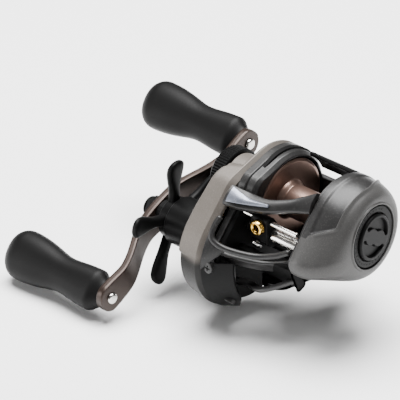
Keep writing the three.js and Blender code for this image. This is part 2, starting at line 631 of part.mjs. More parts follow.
// -------- handle
const rearKnob = V(0, Math.cos(handleAngle * degrees), Math.sin(handleAngle * degrees));
const onArm = (reach) => [driveY + rearKnob.y * reach, driveZ + rearKnob.z * reach];
const armEnd = armMiddle + handleSweep;
{
  const half = handleReach + handleEndWidth / 2;
  const arm = skin((angle, s) => {
    const reach = -half + 2 * half * s;
    const fromEnd = half - Math.abs(reach);
    const blend = THREE.MathUtils.smoothstep(Math.abs(reach), 8, 34);
    const tipRound = Math.sqrt(Math.max(0.02, 1 - (1 - Math.min(1, fromEnd / (handleEndWidth / 2))) ** 2));
    const waist = 1 + 0.14 * Math.cos(2 * Math.PI * Math.min(1, Math.abs(reach) / handleReach));
    const width = handleEndWidth / 2 * tipRound * waist;
    const x = armMiddle - handleThickness / 2 + handleSweep * blend;
    const side = width * power(Math.cos(angle), 0.35);
    const [y, z] = onArm(reach);
    return V(x + handleThickness / 2 * power(Math.sin(angle), 0.35), y - side * rearKnob.z, z + side * rearKnob.y);
  }, 12, 22);
  const knobHoles = [-handleReach, handleReach].map((r) => disc(2.5, armEnd - 8, armEnd + 4, ...onArm(r), 20));
  add('handle_arm', cut(arm, disc(3.3, armMiddle - 8, armMiddle + 4, driveY, driveZ), ...knobHoles), 'bronze');
  const hex = new THREE.Shape(Array.from({ length: 6 }, (_, i) =>
    new THREE.Vector2(4.9 * Math.cos(i * 60 * degrees), 4.9 * Math.sin(i * 60 * degrees))));
  hex.holes.push(new THREE.Path().absarc(0, 0, 3.3, 0, 2 * Math.PI, true));
  add('handle_nut', prismX(hex, armOuter - 3.4, armOuter - gap, 10).translate([0, driveY, driveZ]), 'steel');
  const capStart = armOuter - 3.6 - gap;
  const cap = [[0, capStart - 1.6], [3, capStart - 1.5], [4.1, capStart - 0.8], [4.1, capStart], [0, capStart]];
  add('nut_cap', turned(cap, driveY, driveZ, 24), 'black');
}

// -------- knobs, each on its own post
{
  const wide = V(0, 0.606, 0.795);
  const thin = V(0, -0.795, 0.606);
  const start = armEnd - handleThickness - gap;
  const end = start - knobLength;
  for (const [name, reach] of [['rear', handleReach], ['front', -handleReach]]) {
    const [y, z] = onArm(reach);
    const post = turned([[0, end + 4], [2.1, end + 4], [2.1, armEnd + gap], [3, armEnd + gap],
      [2.6, armEnd + 1], [0, armEnd + 1.2]], y, z, 20);
    add(`knob_post_${name}`, post, 'steel');
    const body = skin((angle, s) => {
      const rise = THREE.MathUtils.smoothstep(s, 0.42, 0.85);
      const belly = 0.79 + 0.05 * Math.sin(Math.PI * Math.min(1, s / 0.5)) + 0.21 * rise;
      const tip = Math.sqrt(1 - (Math.max(0, s - 0.86) / 0.17) ** 2) * (0.88 + 0.12 * Math.min(1, s * 8));
      const a = knobWidth / 2 * belly * tip;
      const b = knobThickness / 2 * (0.8 + 0.2 * rise) * tip;
      return V(start + (end - start) * s, y, z)
        .addScaledVector(wide, a * power(Math.cos(angle), 0.8))
        .addScaledVector(thin, b * power(Math.sin(angle), 0.8));
    }, 16, 10);
    const bore = disc(2.5, end + 3.4, start + 1, y, z, 20);
    const capSeat = disc(3.6, end - 1, end + 1.6, y, z, 20);
    const ventBore = disc(1.4, end + 1, end + 4, y, z, 12);
    add(`knob_${name}`, cut(body, bore, capSeat, ventBore), 'rubber');
    add(`knob_cap_${name}`, disc(3.2, end + 0.2, end + 1.3, y, z, 20), 'black');
  }
}

// -------- line guide
const guideX = -5;
const pawlTilt = 45; // degrees below straight ahead
{
  const left = gearWallIn + gap;
  const right = palmRingIn - gap;
  const pitchSteps = 5;
  const worm = cut(
    disc(wormRadius, rimEdge - 0.2, palmRingIn + 1.8, wormY, wormZ, 14),
    ...Array.from({ length: pitchSteps }, (_, i) =>
      ring(wormRadius - 0.4, wormRadius + 1, -9 + i * 4, -7.8 + i * 4, wormY, wormZ, 14)),
  );
  add('worm_shaft', worm, 'steel');
  const slotted = prismX(sector(wormRadius + 0.5, wormRadius + 1.1, pawlTilt - 128, pawlTilt + 128), left, right, 10);
  add('worm_tube', slotted.translate([0, wormY, wormZ]), 'steel');
  add('guide_rod', disc(guideRodRadius, left, right, guideRodY, guideRodZ, 16), 'steel');

  const ringZ = (wormZ + guideRodZ) / 2 + 1.6;
  const frontY = wormY - 4.3;
  const carriageShape = hullShape([
    { y: wormY, z: wormZ, r: 4.3 }, { y: guideRodY, z: guideRodZ, r: 2.3 },
  ], 24);
  const alongY = (profile, x, z) => solid(new THREE.LatheGeometry(
    profile.map(([r, y]) => new THREE.Vector2(r, y)), 16).translate(x, 0, z));
  const hole = (r, y0, y1, x, z) => alongY([[0, y0], [r, y0], [r, y1], [0, y1]], x, z);
  const pawlX = guideX - 2.2;
  const toPawl = (r, from, to) =>
    spin(hole(r, wormY - to, wormY - from, pawlX, wormZ), pawlTilt, wormY, wormZ);
  const body = join(
    prismX(carriageShape, guideX - 4.6, guideX + 3.6),
    hole(3.3, frontY - 0.2, guideRodY, guideX, ringZ),
    toPawl(2.4, 3, 4.8),
  );
  add('line_guide_carriage', cut(
    body,
    disc(wormRadius + 1.4, guideX - 6, guideX + 6, wormY, wormZ, 24),
    disc(guideRodRadius + gap, guideX - 6, guideX + 6, guideRodY, guideRodZ, 16),
    hole(1.7, frontY - 2, wormY + 8, guideX, ringZ),
    hole(2.6, frontY - 2, frontY + 2, guideX, ringZ),
    toPawl(1.4, 1, 8),
  ), 'black');
  const guideRing = [[1.5, frontY - 2], [2, frontY - 2.6], [2.7, frontY - 2.4], [3, frontY - 1.6],
    [3, frontY - 0.6], [2.3, frontY - 0.6], [2.3, frontY + 0.9], [1.5, frontY + 0.9], [1.5, frontY - 2]];
  add('guide_ring', alongY(guideRing, guideX, ringZ), 'brass');
  add('pawl', toPawl(1.1, wormRadius + 0.1, 4.6), 'steel');
  const capFace = wormY - 6.4;
  const pawlCap = [[0, capFace], [1.5, capFace + 0.1], [2.4, capFace + 0.8], [2.4, capFace + 1.3],
    [0, capFace + 1.3]];
  add('pawl_cap', spin(alongY(pawlCap, pawlX, wormZ), pawlTilt, wormY, wormZ), 'steel');
}

export default reel;
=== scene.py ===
import json
import math

import bpy
import numpy as np
from mathutils import Matrix, Vector


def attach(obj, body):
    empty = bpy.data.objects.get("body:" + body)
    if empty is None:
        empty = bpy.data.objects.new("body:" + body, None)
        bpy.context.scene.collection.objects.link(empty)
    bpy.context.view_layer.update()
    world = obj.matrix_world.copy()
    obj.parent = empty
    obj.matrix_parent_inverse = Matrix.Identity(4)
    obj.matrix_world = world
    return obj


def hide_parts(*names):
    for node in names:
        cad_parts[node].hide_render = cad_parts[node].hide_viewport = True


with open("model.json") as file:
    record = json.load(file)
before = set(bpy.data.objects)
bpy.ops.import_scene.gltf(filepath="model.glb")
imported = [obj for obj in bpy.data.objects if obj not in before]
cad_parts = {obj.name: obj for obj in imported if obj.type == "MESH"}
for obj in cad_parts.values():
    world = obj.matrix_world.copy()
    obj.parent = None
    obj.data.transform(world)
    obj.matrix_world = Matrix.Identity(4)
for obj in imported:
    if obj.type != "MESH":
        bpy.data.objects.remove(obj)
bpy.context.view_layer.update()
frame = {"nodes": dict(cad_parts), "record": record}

# Sizes are in millimetres, with the spool axis along x through y = z = 0, until a mesh is made.
mm = 0.001
axisHeight = 23.0
turn = 2 * math.pi
print("frame loaded")

# Points and profiles


def power(value, exponent):
    return np.sign(value) * np.abs(value) ** exponent


def smooth(value, low, high):
    t = np.clip((value - low) / (high - low), 0, 1)
    return t * t * (3 - 2 * t)


# A line through control points: each span is a Catmull-Rom cubic.
def curve(points, count):
    p = np.asarray(points, float)
    p = np.vstack([2 * p[0] - p[1], p, 2 * p[-1] - p[-2]])
    s = np.linspace(0, len(p) - 3 - 1e-9, count)
    i = s.astype(int)
    t = (s - i)[:, None]
    a, b, c, d = p[i], p[i + 1], p[i + 2], p[i + 3]
    bend = t**2 * (2 * a - 5 * b + 4 * c - d) / 2
    twist = t**3 * (3 * b - a - 3 * c + d) / 2
    return b + t * (c - a) / 2 + bend + twist


# Corners become short quadratic arcs, with a support point beside each.
def rounded(points, radius, closed=False, steps=4):
    p = np.asarray(points, float)
    t = np.linspace(0, 1, steps + 1)[:, None]
    line = [] if closed else [p[:1]]
    span = range(len(p)) if closed else range(1, len(p) - 1)
    for i in span:
        before, here, after = p[i - 1], p[i], p[(i + 1) % len(p)]
        back, ahead = before - here, after - here
        lengths = np.linalg.norm(back), np.linalg.norm(ahead)
        reach = min(radius, 0.36 * min(lengths))
        a = here + back / lengths[0] * reach
        b = here + ahead / lengths[1] * reach
        arc = (1 - t) ** 2 * a + 2 * t * (1 - t) * here + t**2 * b
        line += [here + (a - here) * 1.3, arc, here + (b - here) * 1.3]
    if not closed:
        line.append(p[-1:])
    return np.vstack([np.atleast_2d(part) for part in line])


def evenly(points, count, closed=True):
    p = np.vstack([points, points[:1]]) if closed else points
    along = np.concatenate([[0], np.cumsum(np.linalg.norm(np.diff(p, axis=0), axis=1))])
    at = np.linspace(0, along[-1], count, endpoint=not closed)
    return np.stack([np.interp(at, along, p[:, k]) for k in range(p.shape[1])], 1)


# The convex outline round circles (y, z, r): the furthest support point in each direction.
def outlineOf(circles, count=240):
    c = np.asarray(circles, float)
    n = np.linspace(0, turn, 2880, endpoint=False)
    facing = np.stack([np.cos(n), np.sin(n)], 1)
    best = np.argmax(facing @ c[:, :2].T + c[:, 2], axis=1)
    return evenly(c[best, :2] + c[best, 2:] * facing, count)


def normalsOf(outline):
    along = np.roll(outline, -1, 0) - np.roll(outline, 1, 0)
    along /= np.linalg.norm(along, axis=1)[:, None] + 1e-12
    return np.stack([along[:, 1], -along[:, 0]], 1)


# Rows along x of one outline: each row is (x, inset).
def rowsOf(outline, rows):
    normals = normalsOf(outline)
    flat = [outline - normals * inset for _, inset in rows]
    return np.stack([np.column_stack([np.full(len(f), x), f]) for f, (x, _) in zip(flat, rows)])


def plate(outline, x0, x1, bevel=0.3):
    rows = rounded([(x0, 4 * bevel), (x0, 0), (x1, 0), (x1, 4 * bevel)], bevel)
    return patch(rowsOf(outline, rows))


# A ring-shaped plate between two outlines with the same number of points.
def ringPlate(outer, inner, x0, x1, bevel=0.3):
    square = rounded([(x0, 0), (x1, 0), (x1, 1), (x0, 1)], 0.12, closed=True)
    side = square[:, 1][:, None, None]
    flat = outer[None] * (1 - side) + inner[None] * side
    x = np.broadcast_to(square[:, 0][:, None, None], (*flat.shape[:2], 1))
    return patch(np.concatenate([x, flat], 2), close=False, wrapRows=True)


def circle(r, y=0, z=0, count=240):
    a = np.linspace(0, turn, count, endpoint=False)
    return np.stack([y + r * np.cos(a), z + r * np.sin(a)], 1)


# A profile of (radius, x) turned about a line along x; a shut profile makes a ring.
def turned(profile, y=0, z=0, bevel=0.2, shut=False, count=128, ripple=None):
    line = rounded(profile, bevel, closed=shut)
    a = np.linspace(0, turn, count, endpoint=False)[None]
    r, x = line[:, :1], line[:, 1:] + 0 * a
    if ripple is not None:
        r = r - ripple(r, x, a)
    points = np.stack([x, y + r * np.cos(a), z + r * np.sin(a)], 2)
    return patch(points, close=not shut, wrapRows=shut)


# A rectangle of half sizes w and t with corners rounded by b, for each station.
def roundBox(w, t, b, steps=5):
    w, t, b = np.broadcast_arrays(*map(np.atleast_1d, (w, t, b)))
    b = np.minimum(b, 0.95 * np.minimum(w, t))
    a = np.concatenate([np.linspace(k, k + 90, steps) for k in (0, 90, 180, 270)])
    a = np.radians(a)[None]
    sx, sy = np.repeat([1, -1, -1, 1], steps), np.repeat([1, 1, -1, -1], steps)
    p = sx * (w - b)[:, None] + b[:, None] * np.cos(a)
    q = sy * (t - b)[:, None] + b[:, None] * np.sin(a)
    return p, q


# A box section carried along centres, with its two directions at each station.
def loft(centres, sideways, upwards, p, q):
    points = centres[:, None] + sideways[:, None] * p[..., None] + upwards[:, None] * q[..., None]
    return patch(points)


# A bar bent round the spool axis: stations by angle, section in x and radius.
def arcBar(rIn, rOut, a0, a1, x0, x1, y=0, z=0, bevel=0.3, count=64):
    a = np.radians(np.linspace(a0, a1, count))
    ends = np.minimum(1, 0.25 + np.minimum(np.arange(count), np.arange(count)[::-1]) / 2)
    out = np.stack([0 * a, np.cos(a), np.sin(a)], 1)
    p, q = roundBox(np.full(count, (x1 - x0) / 2), (rOut - rIn) / 2 * ends, bevel)
    centres = out * (rIn + rOut) / 2 + [(x0 + x1) / 2, y, z]
    return loft(centres, np.broadcast_to([1.0, 0, 0], out.shape), out, p, q)


# A flat bar between two edge lines; crown lifts its middle.
def strap(edgeA, edgeB, thickness, bevel=0.5, crown=0.0, count=72):
    a, b = curve(edgeA, count), curve(edgeB, count)
    across = (b - a) / 2
    width = np.linalg.norm(across, axis=1)
    side = across / width[:, None]
    up = np.stack([0 * width, -side[:, 2], side[:, 1]], 1)
    up /= np.linalg.norm(up, axis=1)[:, None]
    flip = np.sign(up[:, 2] - 0.4 * up[:, 1])[:, None]
    up = up * np.where(flip == 0, 1, flip)
    p, q = roundBox(width, np.full(count, thickness / 2), bevel)
    order = np.argsort(np.arctan2(q[0] / thickness, p[0] / width[0]))
    p, q = p[:, order], q[:, order]
    p, q = evenSections(p, q, 64)
    q = q + crown * (1 - (p / width[:, None]) ** 2)
    return loft((a + b) / 2, side, up, p, q)


# Sections resampled so that flat sides carry points too.
def evenSections(p, q, count):
    both = np.stack([evenly(np.stack([a, b], 1), count) for a, b in zip(p, q)])
    return both[..., 0], both[..., 1]


# Meshes


# A grid of points becomes quads, and each open end a fan to its mean point. The sign of the
# enclosed volume says which way the faces point, and they are turned outwards.
def patch(points, close=True, wrapRows=False):
    rows, cols = points.shape[:2]
    verts = points.reshape(-1, 3)
    index = np.arange(rows * cols).reshape(rows, cols)
    index = np.hstack([index, index[:, :1]])
    if wrapRows:
        index = np.vstack([index, index[:1]])
    corners = index[:-1, :-1], index[:-1, 1:], index[1:, 1:], index[1:, :-1]
    quads = np.stack(corners, -1).reshape(-1, 4)
    tris = np.zeros((0, 3), int)
    if close:
        a, b = index[0], index[-1]
        poles = np.full(cols, len(verts)), np.full(cols, len(verts) + 1)
        tris = np.vstack([np.stack([poles[0], a[1:], a[:-1]], 1), np.stack([poles[1], b[:-1], b[1:]], 1)])
        verts = np.vstack([verts, points[0].mean(0), points[-1].mean(0)])
    halves = np.vstack([quads[:, :3], quads[:, [0, 2, 3]], tris])
    a, b, c = (verts[halves[:, k]] for k in range(3))
    if np.einsum("ij,ij->i", a, np.cross(b, c)).sum() < 0:
        quads, tris = quads[:, ::-1], tris[:, ::-1]
    return verts, quads, tris


def moved(part, matrix=None, shift=(0, 0, 0)):
    verts, quads, tris = part
    if matrix is not None:
        verts = verts @ np.asarray(matrix, float).T
    return verts + np.asarray(shift, float), quads, tris


def makePiece(name, parts, material, body, nodes, sharp=38):
    starts = np.cumsum([0] + [len(part[0]) for part in parts])
    verts = np.vstack([part[0] for part in parts])
    quads = np.vstack([part[1] + s for part, s in zip(parts, starts)])
    tris = np.vstack([part[2] + s for part, s in zip(parts, starts)])
    mesh = bpy.data.meshes.new(name)
    mesh.vertices.add(len(verts))
    mesh.vertices.foreach_set("co", ((verts + [0, 0, axisHeight]) * mm).astype(np.float32).ravel())
    loops = np.concatenate([quads.ravel(), tris.ravel()]).astype(np.int32)
    mesh.loops.add(len(loops))
    mesh.loops.foreach_set("vertex_index", loops)
    begins = np.concatenate([np.arange(len(quads)) * 4, len(quads) * 4 + np.arange(len(tris)) * 3])
    mesh.polygons.add(len(begins))
    mesh.polygons.foreach_set("loop_start", begins.astype(np.int32))
    mesh.update(calc_edges=True)
    mesh.validate()
    mesh.polygons.foreach_set("use_smooth", np.ones(len(mesh.polygons), bool))
    mesh.set_sharp_from_angle(angle=math.radians(sharp))
    mesh.materials.append(material)
    piece = bpy.data.objects.new(name, mesh)
    bpy.context.scene.collection.objects.link(piece)
    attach(piece, body)
    if nodes:
        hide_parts(*nodes)
    return piece


# Surfaces


# One shader value. Arithmetic adds a maths node; make adds any other node.
class Field:
    def __init__(self, tree, socket):
        self.tree = tree
        self.socket = socket

    def make(self, kind, settings, values, output=0):
        node = self.tree.nodes.new(kind)
        for key, value in settings.items():
            setattr(node, key, value)
        for key, value in values.items():
            if isinstance(value, Field):
                self.tree.links.new(value.socket, node.inputs[key])
            else:
                node.inputs[key].default_value = value
        return Field(self.tree, node.outputs[output])

    def maths(self, operation, *values):
        return self.make("ShaderNodeMath", {"operation": operation}, dict(enumerate(values)))

    def __add__(self, other):
        return self.maths("ADD", self, other)

    def __sub__(self, other):
        return self.maths("SUBTRACT", self, other)

    def __mul__(self, other):
        return self.maths("MULTIPLY", self, other)

    def __truediv__(self, other):
        return self.maths("DIVIDE", self, other)

    def __pow__(self, other):
        return self.maths("POWER", self, other)

    def __rsub__(self, other):
        return self.maths("SUBTRACT", other, self)

    def __rtruediv__(self, other):
        return self.maths("DIVIDE", other, self)

    __radd__ = __add__
    __rmul__ = __mul__


# Every finish: colour = base shifted by cloudy noise, then brightened in a few flake cells;
# roughness = base plus a share of the grain and cloud; bump = fine grain plus the flake cells.
# A painted shade blends the colour to a share of itself between two heights above the foot, so the lower part
# is painted darker as shade.
finishLook = {
    "cloudScale": 90, "darkest": 0.86, "palest": 1.12, "flakeColour": (0.9, 0.86, 0.8, 1), "flakePower": 7.0,
    "grainRough": 0.16, "cloudRough": 0.08, "bumpDepth": 0.0002,
}


def shade(colour, share):
    return [min(1, c * share) for c in colour] + [1]


def mixColour(share, first, second):
    return share.make("ShaderNodeMix", {"data_type": "RGBA"}, {0: share, 6: first, 7: second}, 2)


def noise(place, scale, detail):
    return place.make("ShaderNodeTexNoise", {}, {"Vector": place, "Scale": scale, "Detail": detail})


def finish(name, look):
    material = bpy.data.materials.new(name)
    material.use_nodes = True
    tree = material.node_tree
    shader = tree.nodes["Principled BSDF"]
    place = Field(tree, tree.nodes.new("ShaderNodeTexCoord").outputs["Object"])
    stretch = look.get("stretch", (1, 1, 1))
    drawn = place.make("ShaderNodeVectorMath", {"operation": "MULTIPLY"}, {0: place, 1: stretch})
    cloud = noise(place, finishLook["cloudScale"], 3)
    grain = noise(drawn, look.get("grainScale", 2600), 2)
    scale = look.get("flakeScale", 2300)
    cells = place.make("ShaderNodeTexVoronoi", {}, {"Vector": place, "Scale": scale}, 1)
    cell = cells.make("ShaderNodeSeparateColor", {}, {0: cells})
    flake = (cell ** finishLook["flakePower"]) * look.get("flake", 0.0)
    dark = shade(look["colour"], finishLook["darkest"])
    pale = shade(look["colour"], finishLook["palest"])
    colour = mixColour(flake, mixColour(cloud, dark, pale), finishLook["flakeColour"])
    # Painted shade: below the lower height the colour is a share of itself, darkening the part towards the
    # foot.
    if "paintedShade" in look:
        low, high, share = look["paintedShade"]
        height = place.make("ShaderNodeSeparateXYZ", {}, {0: place}, 2)
        ends = {0: height, 1: low, 2: high, 3: 0.0, 4: 1.0}
        shadeRamp = place.make("ShaderNodeMapRange", {"interpolation_type": "SMOOTHSTEP"}, ends)
        colour = mixColour(shadeRamp, shade(look["colour"], share), colour)
    tree.links.new(colour.socket, shader.inputs["Base Color"])
    spread = (grain - 0.5) * finishLook["grainRough"] + (cloud - 0.5) * finishLook["cloudRough"]
    tree.links.new((spread + look["roughness"]).socket, shader.inputs["Roughness"])
    relief = {
        "Strength": look["bump"], "Distance": finishLook["bumpDepth"],
        "Height": grain + cell * look.get("flakeBump", 0.0),
    }
    tree.links.new(place.make("ShaderNodeBump", {}, relief).socket, shader.inputs["Normal"])
    shader.inputs["Metallic"].default_value = look["metallic"]
    shader.inputs["Specular IOR Level"].default_value = look.get("specular", 0.5)
    return material


looks = {
    # The cover and palm plate paints carry a painted shade: darker towards the foot.
    "coverPaint": {
        "colour": (0.1, 0.088, 0.077), "paintedShade": (0.007, 0.0112, 0.05), "metallic": 0.3,
        "roughness": 0.46, "specular": 0.3, "flake": 0.05, "flakeScale": 5200, "flakeBump": 0.3,
        "bump": 0.14,
    },
    "palmPaint": {
        "colour": (0.047, 0.046, 0.045), "paintedShade": (-0.003, 0.013, 0.12), "metallic": 0.3,
        "roughness": 0.42, "specular": 0.3, "flake": 0.03, "flakeScale": 5200, "flakeBump": 0.25,
        "bump": 0.12,
    },
    "graphitePaint": {
        "colour": (0.012, 0.0117, 0.0117), "metallic": 0.0, "roughness": 0.36, "specular": 0.3,
        "flake": 0.015, "bump": 0.06,
    },
    "satinBlack": {
        "colour": (0.004, 0.004, 0.004), "metallic": 0.0, "roughness": 0.4, "specular": 0.07,
        "bump": 0.05,
    },
    # Painted shade: a near-black for pieces inside the reel.
    "shadeBlack": {
        "colour": (0.002, 0.002, 0.002), "metallic": 0.0, "roughness": 0.6, "specular": 0.08,
        "bump": 0.05,
    },
    "knobRubber": {
        "colour": (0.004, 0.0039, 0.0039), "metallic": 0.0, "roughness": 0.48, "specular": 0.1,
        "grainScale": 3400, "bump": 0.1,
    },
    "bronzeAnodised": {
        "colour": (0.03, 0.02, 0.016), "metallic": 0.5, "roughness": 0.34, "specular": 0.3,
        "grainScale": 1500, "bump": 0.06,
    },
    # The spool's bronze is a lighter copy of the arm's bronze: painted light on the spool, which sits in
    # shade.
    "spoolBronzeLit": {
        "colour": (0.19, 0.122, 0.098), "metallic": 0.8, "roughness": 0.33, "grainScale": 1500,
        "bump": 0.05,
    },
    "brightSteel": {
        "colour": (0.62, 0.6, 0.57), "metallic": 1.0, "roughness": 0.2, "grainScale": 1800,
        "stretch": (0.06, 1, 1), "bump": 0.05,
    },
    "goldRing": {
        "colour": (0.8, 0.5, 0.12), "metallic": 1.0, "roughness": 0.18, "bump": 0.03,
    },
    "chrome": {
        "colour": (0.75, 0.74, 0.73), "metallic": 1.0, "roughness": 0.08, "bump": 0.02,
    },
    "badgeBlue": {
        "colour": (0.155, 0.168, 0.205), "metallic": 0.6, "roughness": 0.34, "flake": 0.1,
        "bump": 0.04,
    },
    "carbonWeave": {
        "colour": (0.02, 0.02, 0.022), "metallic": 0.0, "roughness": 0.5, "bump": 0.3,
    },
}
paint = {name: finish(name, look) for name, look in looks.items()}
slotPaint = {
    "graphite": "graphitePaint", "cover_grey": "coverPaint", "palm_grey": "palmPaint", "black": "satinBlack",
    "bronze": "bronzeAnodised", "rubber": "knobRubber", "steel": "brightSteel", "brass": "goldRing",
    "badge": "badgeBlue", "carbon": "carbonWeave",
}
for part in frame["record"]["subparts"]:
    node = frame["nodes"][part["node"]]
    node.data.materials.clear()
    # The spring washer, bearing and drive shaft inside the reel take the near-black as painted shade.
    shadedInside = part["node"] in ("star_spring_washer", "one_way_bearing", "drive_shaft")
    node.data.materials.append(paint["shadeBlack" if shadedInside else slotPaint[part["material_slot"]]])
print("surfaces made")

# Shared places
body = {
    "spoolRing": 17.2, "ringOuter": 20.0, "palmOuter": 21.4, "rimEdge": -20.1,
    "driveY": -18.55, "driveZ": -17.057, "lobe": 23.43, "wormY": -20.6, "wormZ": -3.612,
}
drive = (body["driveY"], body["driveZ"])
caseCircles = [(0, 0, body["ringOuter"]), (*drive, body["lobe"]), (-17, 5, 10)]
caseOutline = outlineOf(caseCircles)
palmOutline = outlineOf([(0.2, -0.9, body["palmOuter"] - 0.9), (-23.3, -7, 5.6)])


# The case outline with its front circles made smaller.
def lowered(lower):
    return outlineOf([caseCircles[0]] + [(y, z, r - lower) for y, z, r in caseCircles[1:]])


# Main frame: arch, gear side wall and rim, palm ring, bars, lips and the pad over the foot
# Radius at each angle = the case outline less a drop for each step across, and never less than
# the spool's ring; towards the hood the whole band sinks.
def archBand(look):
    a = np.radians(np.linspace(look["from"], look["to"], 160))
    facing = np.stack([np.cos(a), np.sin(a)], 1)
    bearing = np.unwrap(np.arctan2(caseOutline[:, 1], caseOutline[:, 0]))
    order = np.argsort(bearing % turn)
    reaches = np.linalg.norm(caseOutline, axis=1)[order]
    reach = np.interp(a % turn, (bearing % turn)[order], reaches, period=turn)
    inner = body["spoolRing"]
    line = rounded([(x, drop) for x, drop in look["steps"]] + [(-12, 9), (-20.1, 9)], 0.22, closed=True)
    sink = look["sink"] * smooth(np.degrees(a), 136, 156)[:, None]
    drop = line[:, 1][None] + sink
    r = np.where(drop > 8, inner, reach[:, None] - np.minimum(drop, reach[:, None] - inner - 0.2))
    r = np.maximum(r, inner)
    x = line[:, 0][None] + 0 * r
    return patch(np.stack([x, r * facing[:, :1], r * facing[:, 1:]], 2))


mainFrameLook = {
    "from": -60, "to": 162, "sink": 3.4,
    "steps": [(-20.1, 0.0), (-17.0, 0.0), (-16.5, 0.7), (-13.6, 0.9), (-12.0, 2.2)],
    "lip": [
        (-18.6, -37.2, -8.6), (-12, -35.2, -10.2), (-2, -29.6, -11.4), (6, -25.8, -10), (13, -22.6, -7.4),
    ],
}
frontLip = np.array(mainFrameLook["lip"])
padShape = rounded([(-22, -20.2), (22, -20.2), (12, -18.2), (-12, -18.2)], 0.6, closed=True)
webShape = rounded([(-26.5, -11), (-24, -10), (-20.2, -18.6), (-23, -19.8)], 0.7, closed=True)
insideParts = [
    ringPlate(lowered(5.4), circle(5.3), -17.6, -15.2),
    arcBar(17.6, 19.8, 234, 306, -16.2, 13.2),
    plate(evenly(webShape, 96), -16.2, 13.2, 0.3),
    plate(evenly(padShape, 160), -6, 6, 0.3),
]
ringOutline = outlineOf([(0.2, -0.9, body["palmOuter"] - 1.8), (-23.3, -7, 4.7)])
outsideParts = [
    archBand(mainFrameLook),
    ringPlate(lowered(4.7), lowered(6.4) * 0.97, -20.1, -17.4),
    ringPlate(ringOutline, circle(body["spoolRing"]), 12.2, 15.8),
    arcBar(17.8, 20.0, -30, 8, -16.2, 13.2),
    strap(frontLip + [0, 1.2, 0], frontLip + [0, 4.2, -4.6], 2.0, 0.7, 0.3),
    strap(
        [(-16.4, -29, -25.5), (-9, -28.4, -24.6), (1, -30.4, -22.4), (13, -25, -15.8)],
        [(-16.4, -25.6, -25.5), (-9, -25.2, -24.2), (1, -28, -21.4), (13, -21.6, -15)], 2.0, 0.7, 0.2,
    ),
]
makePiece("mainFrame", outsideParts, paint["graphitePaint"], "frame", ["main_frame"])
# The frame's inner pieces take the near-black: painted shade inside the reel.
makePiece("frameInside", insideParts, paint["shadeBlack"], "frame", [])
print("main frame made")

# Foot and its two rivets
footLook = {"thick": 2.5, "rivetY": 9.0}
footEnd = curve([(22, 4.5), (24.1, 2.2), (24.9, 0), (24.1, -2.2), (22, -4.5)], 24)
footOutline = np.vstack([[(10, 6.5)], footEnd, [(10, -6.5), (-10, -6.5)], -footEnd, [(-10, 6.5)]])
footFlat = plate(evenly(footOutline, 200), 0, footLook["thick"], 0.4)
swap = np.array([[0, 0, 1], [0, 1, 0], [1, 0, 0]])


# A part drawn along x is stood upright on the foot's underside.
def upright(part, y):
    return part[0] @ swap + [0, y, -axisHeight], part[1][:, ::-1], part[2][:, ::-1]


makePiece("footPlate", [upright(footFlat, 0)], paint["graphitePaint"], "frame", ["reel_foot"])
pin = turned([(0, 0.2), (1.6, 0.2), (1.6, 4.8), (0, 4.8)], bevel=0.4, count=48)
for end, y in (("front", -footLook["rivetY"]), ("rear", footLook["rivetY"])):
    name = f"footRivet{end.title()}"
    makePiece(name, [upright(pin, y)], paint["brightSteel"], "frame", [f"foot_rivet_{end}"])
print("foot made")

# Gear side cover: side wall with a bright chamfer, a sloped face, and a boss on each axis
coverLook = {
    "archFace": -24.0, "slope": (8.0, -27.3, -32.0, -32.0), "wallStart": -23.0,
    "inside": (-23.2, 4.4), "middle": (-12.0, -9.0),
    "chamfer": [(-20.4, 3.4), (-20.4, 2.0), (-22.6, 0.0), (-23.0, 0.0)],
    "crease": 170, "draft": 1.3, "edge": 1.1,
}
lobeCircles = np.array(caseCircles[1:])


# Depth of the face: the lobe's sloping plane inside the lobe, the arch plane outside it.
def coverDepth(flat, look):
    n = np.radians(np.arange(0, 360, 3))
    facing = np.stack([np.cos(n), np.sin(n)], 1)
    support = (facing @ lobeCircles[:, :2].T + lobeCircles[:, 2]).max(1)
    outside = (flat @ facing.T - support).max(-1)
    y0, x0, y1, x1 = look["slope"]
    plane = np.interp(flat[..., 0], [y1, y0], [x1, x0])
    inside = 1 - smooth(outside, 0.1, 1.3)
    return look["archFace"] + (plane - look["archFace"]) * inside


# Rows from the inside face, over the chamfer and up the wall, round the edge and in to the middle.
def coverShell(look, outline):
    normals = normalsOf(outline)
    top = coverDepth(outline, look)
    rows = []
    for x, inset in [look["inside"], *rounded(look["chamfer"], 0.15)]:
        flat = outline - normals * inset
        rows.append(np.column_stack([np.full(len(flat), x), flat]))
    bearing = np.degrees(np.arctan2(outline[:, 1] - drive[1], outline[:, 0] - drive[0])) % 360
    below = smooth(bearing, look["crease"] - 2, look["crease"] + 2) * (1 - smooth(bearing, 285, 330))
    draft = (look["draft"] * below)[:, None]
    for share in np.linspace(0.0, 1, 9)[1:]:
        x = look["wallStart"] + (top + look["edge"] - look["wallStart"]) * share
        x = np.minimum(x, look["wallStart"])
        rows.append(np.column_stack([x, outline - normals * draft * share]))
    for a in np.radians(np.linspace(15, 90, 6)):
        flat = outline - normals * (look["edge"] * (1 - math.cos(a)) + draft)
        x = np.minimum(top + look["edge"] * (1 - math.sin(a)), look["wallStart"] - 0.05)
        rows.append(np.column_stack([x, flat]))
    rim = outline - normals * (look["edge"] + draft)
    for share in np.linspace(0, 1, 60)[1:-1] ** 1.1:
        flat = rim * (1 - share) + np.array(look["middle"]) * share
        rows.append(np.column_stack([coverDepth(flat, look), flat]))
    return rows


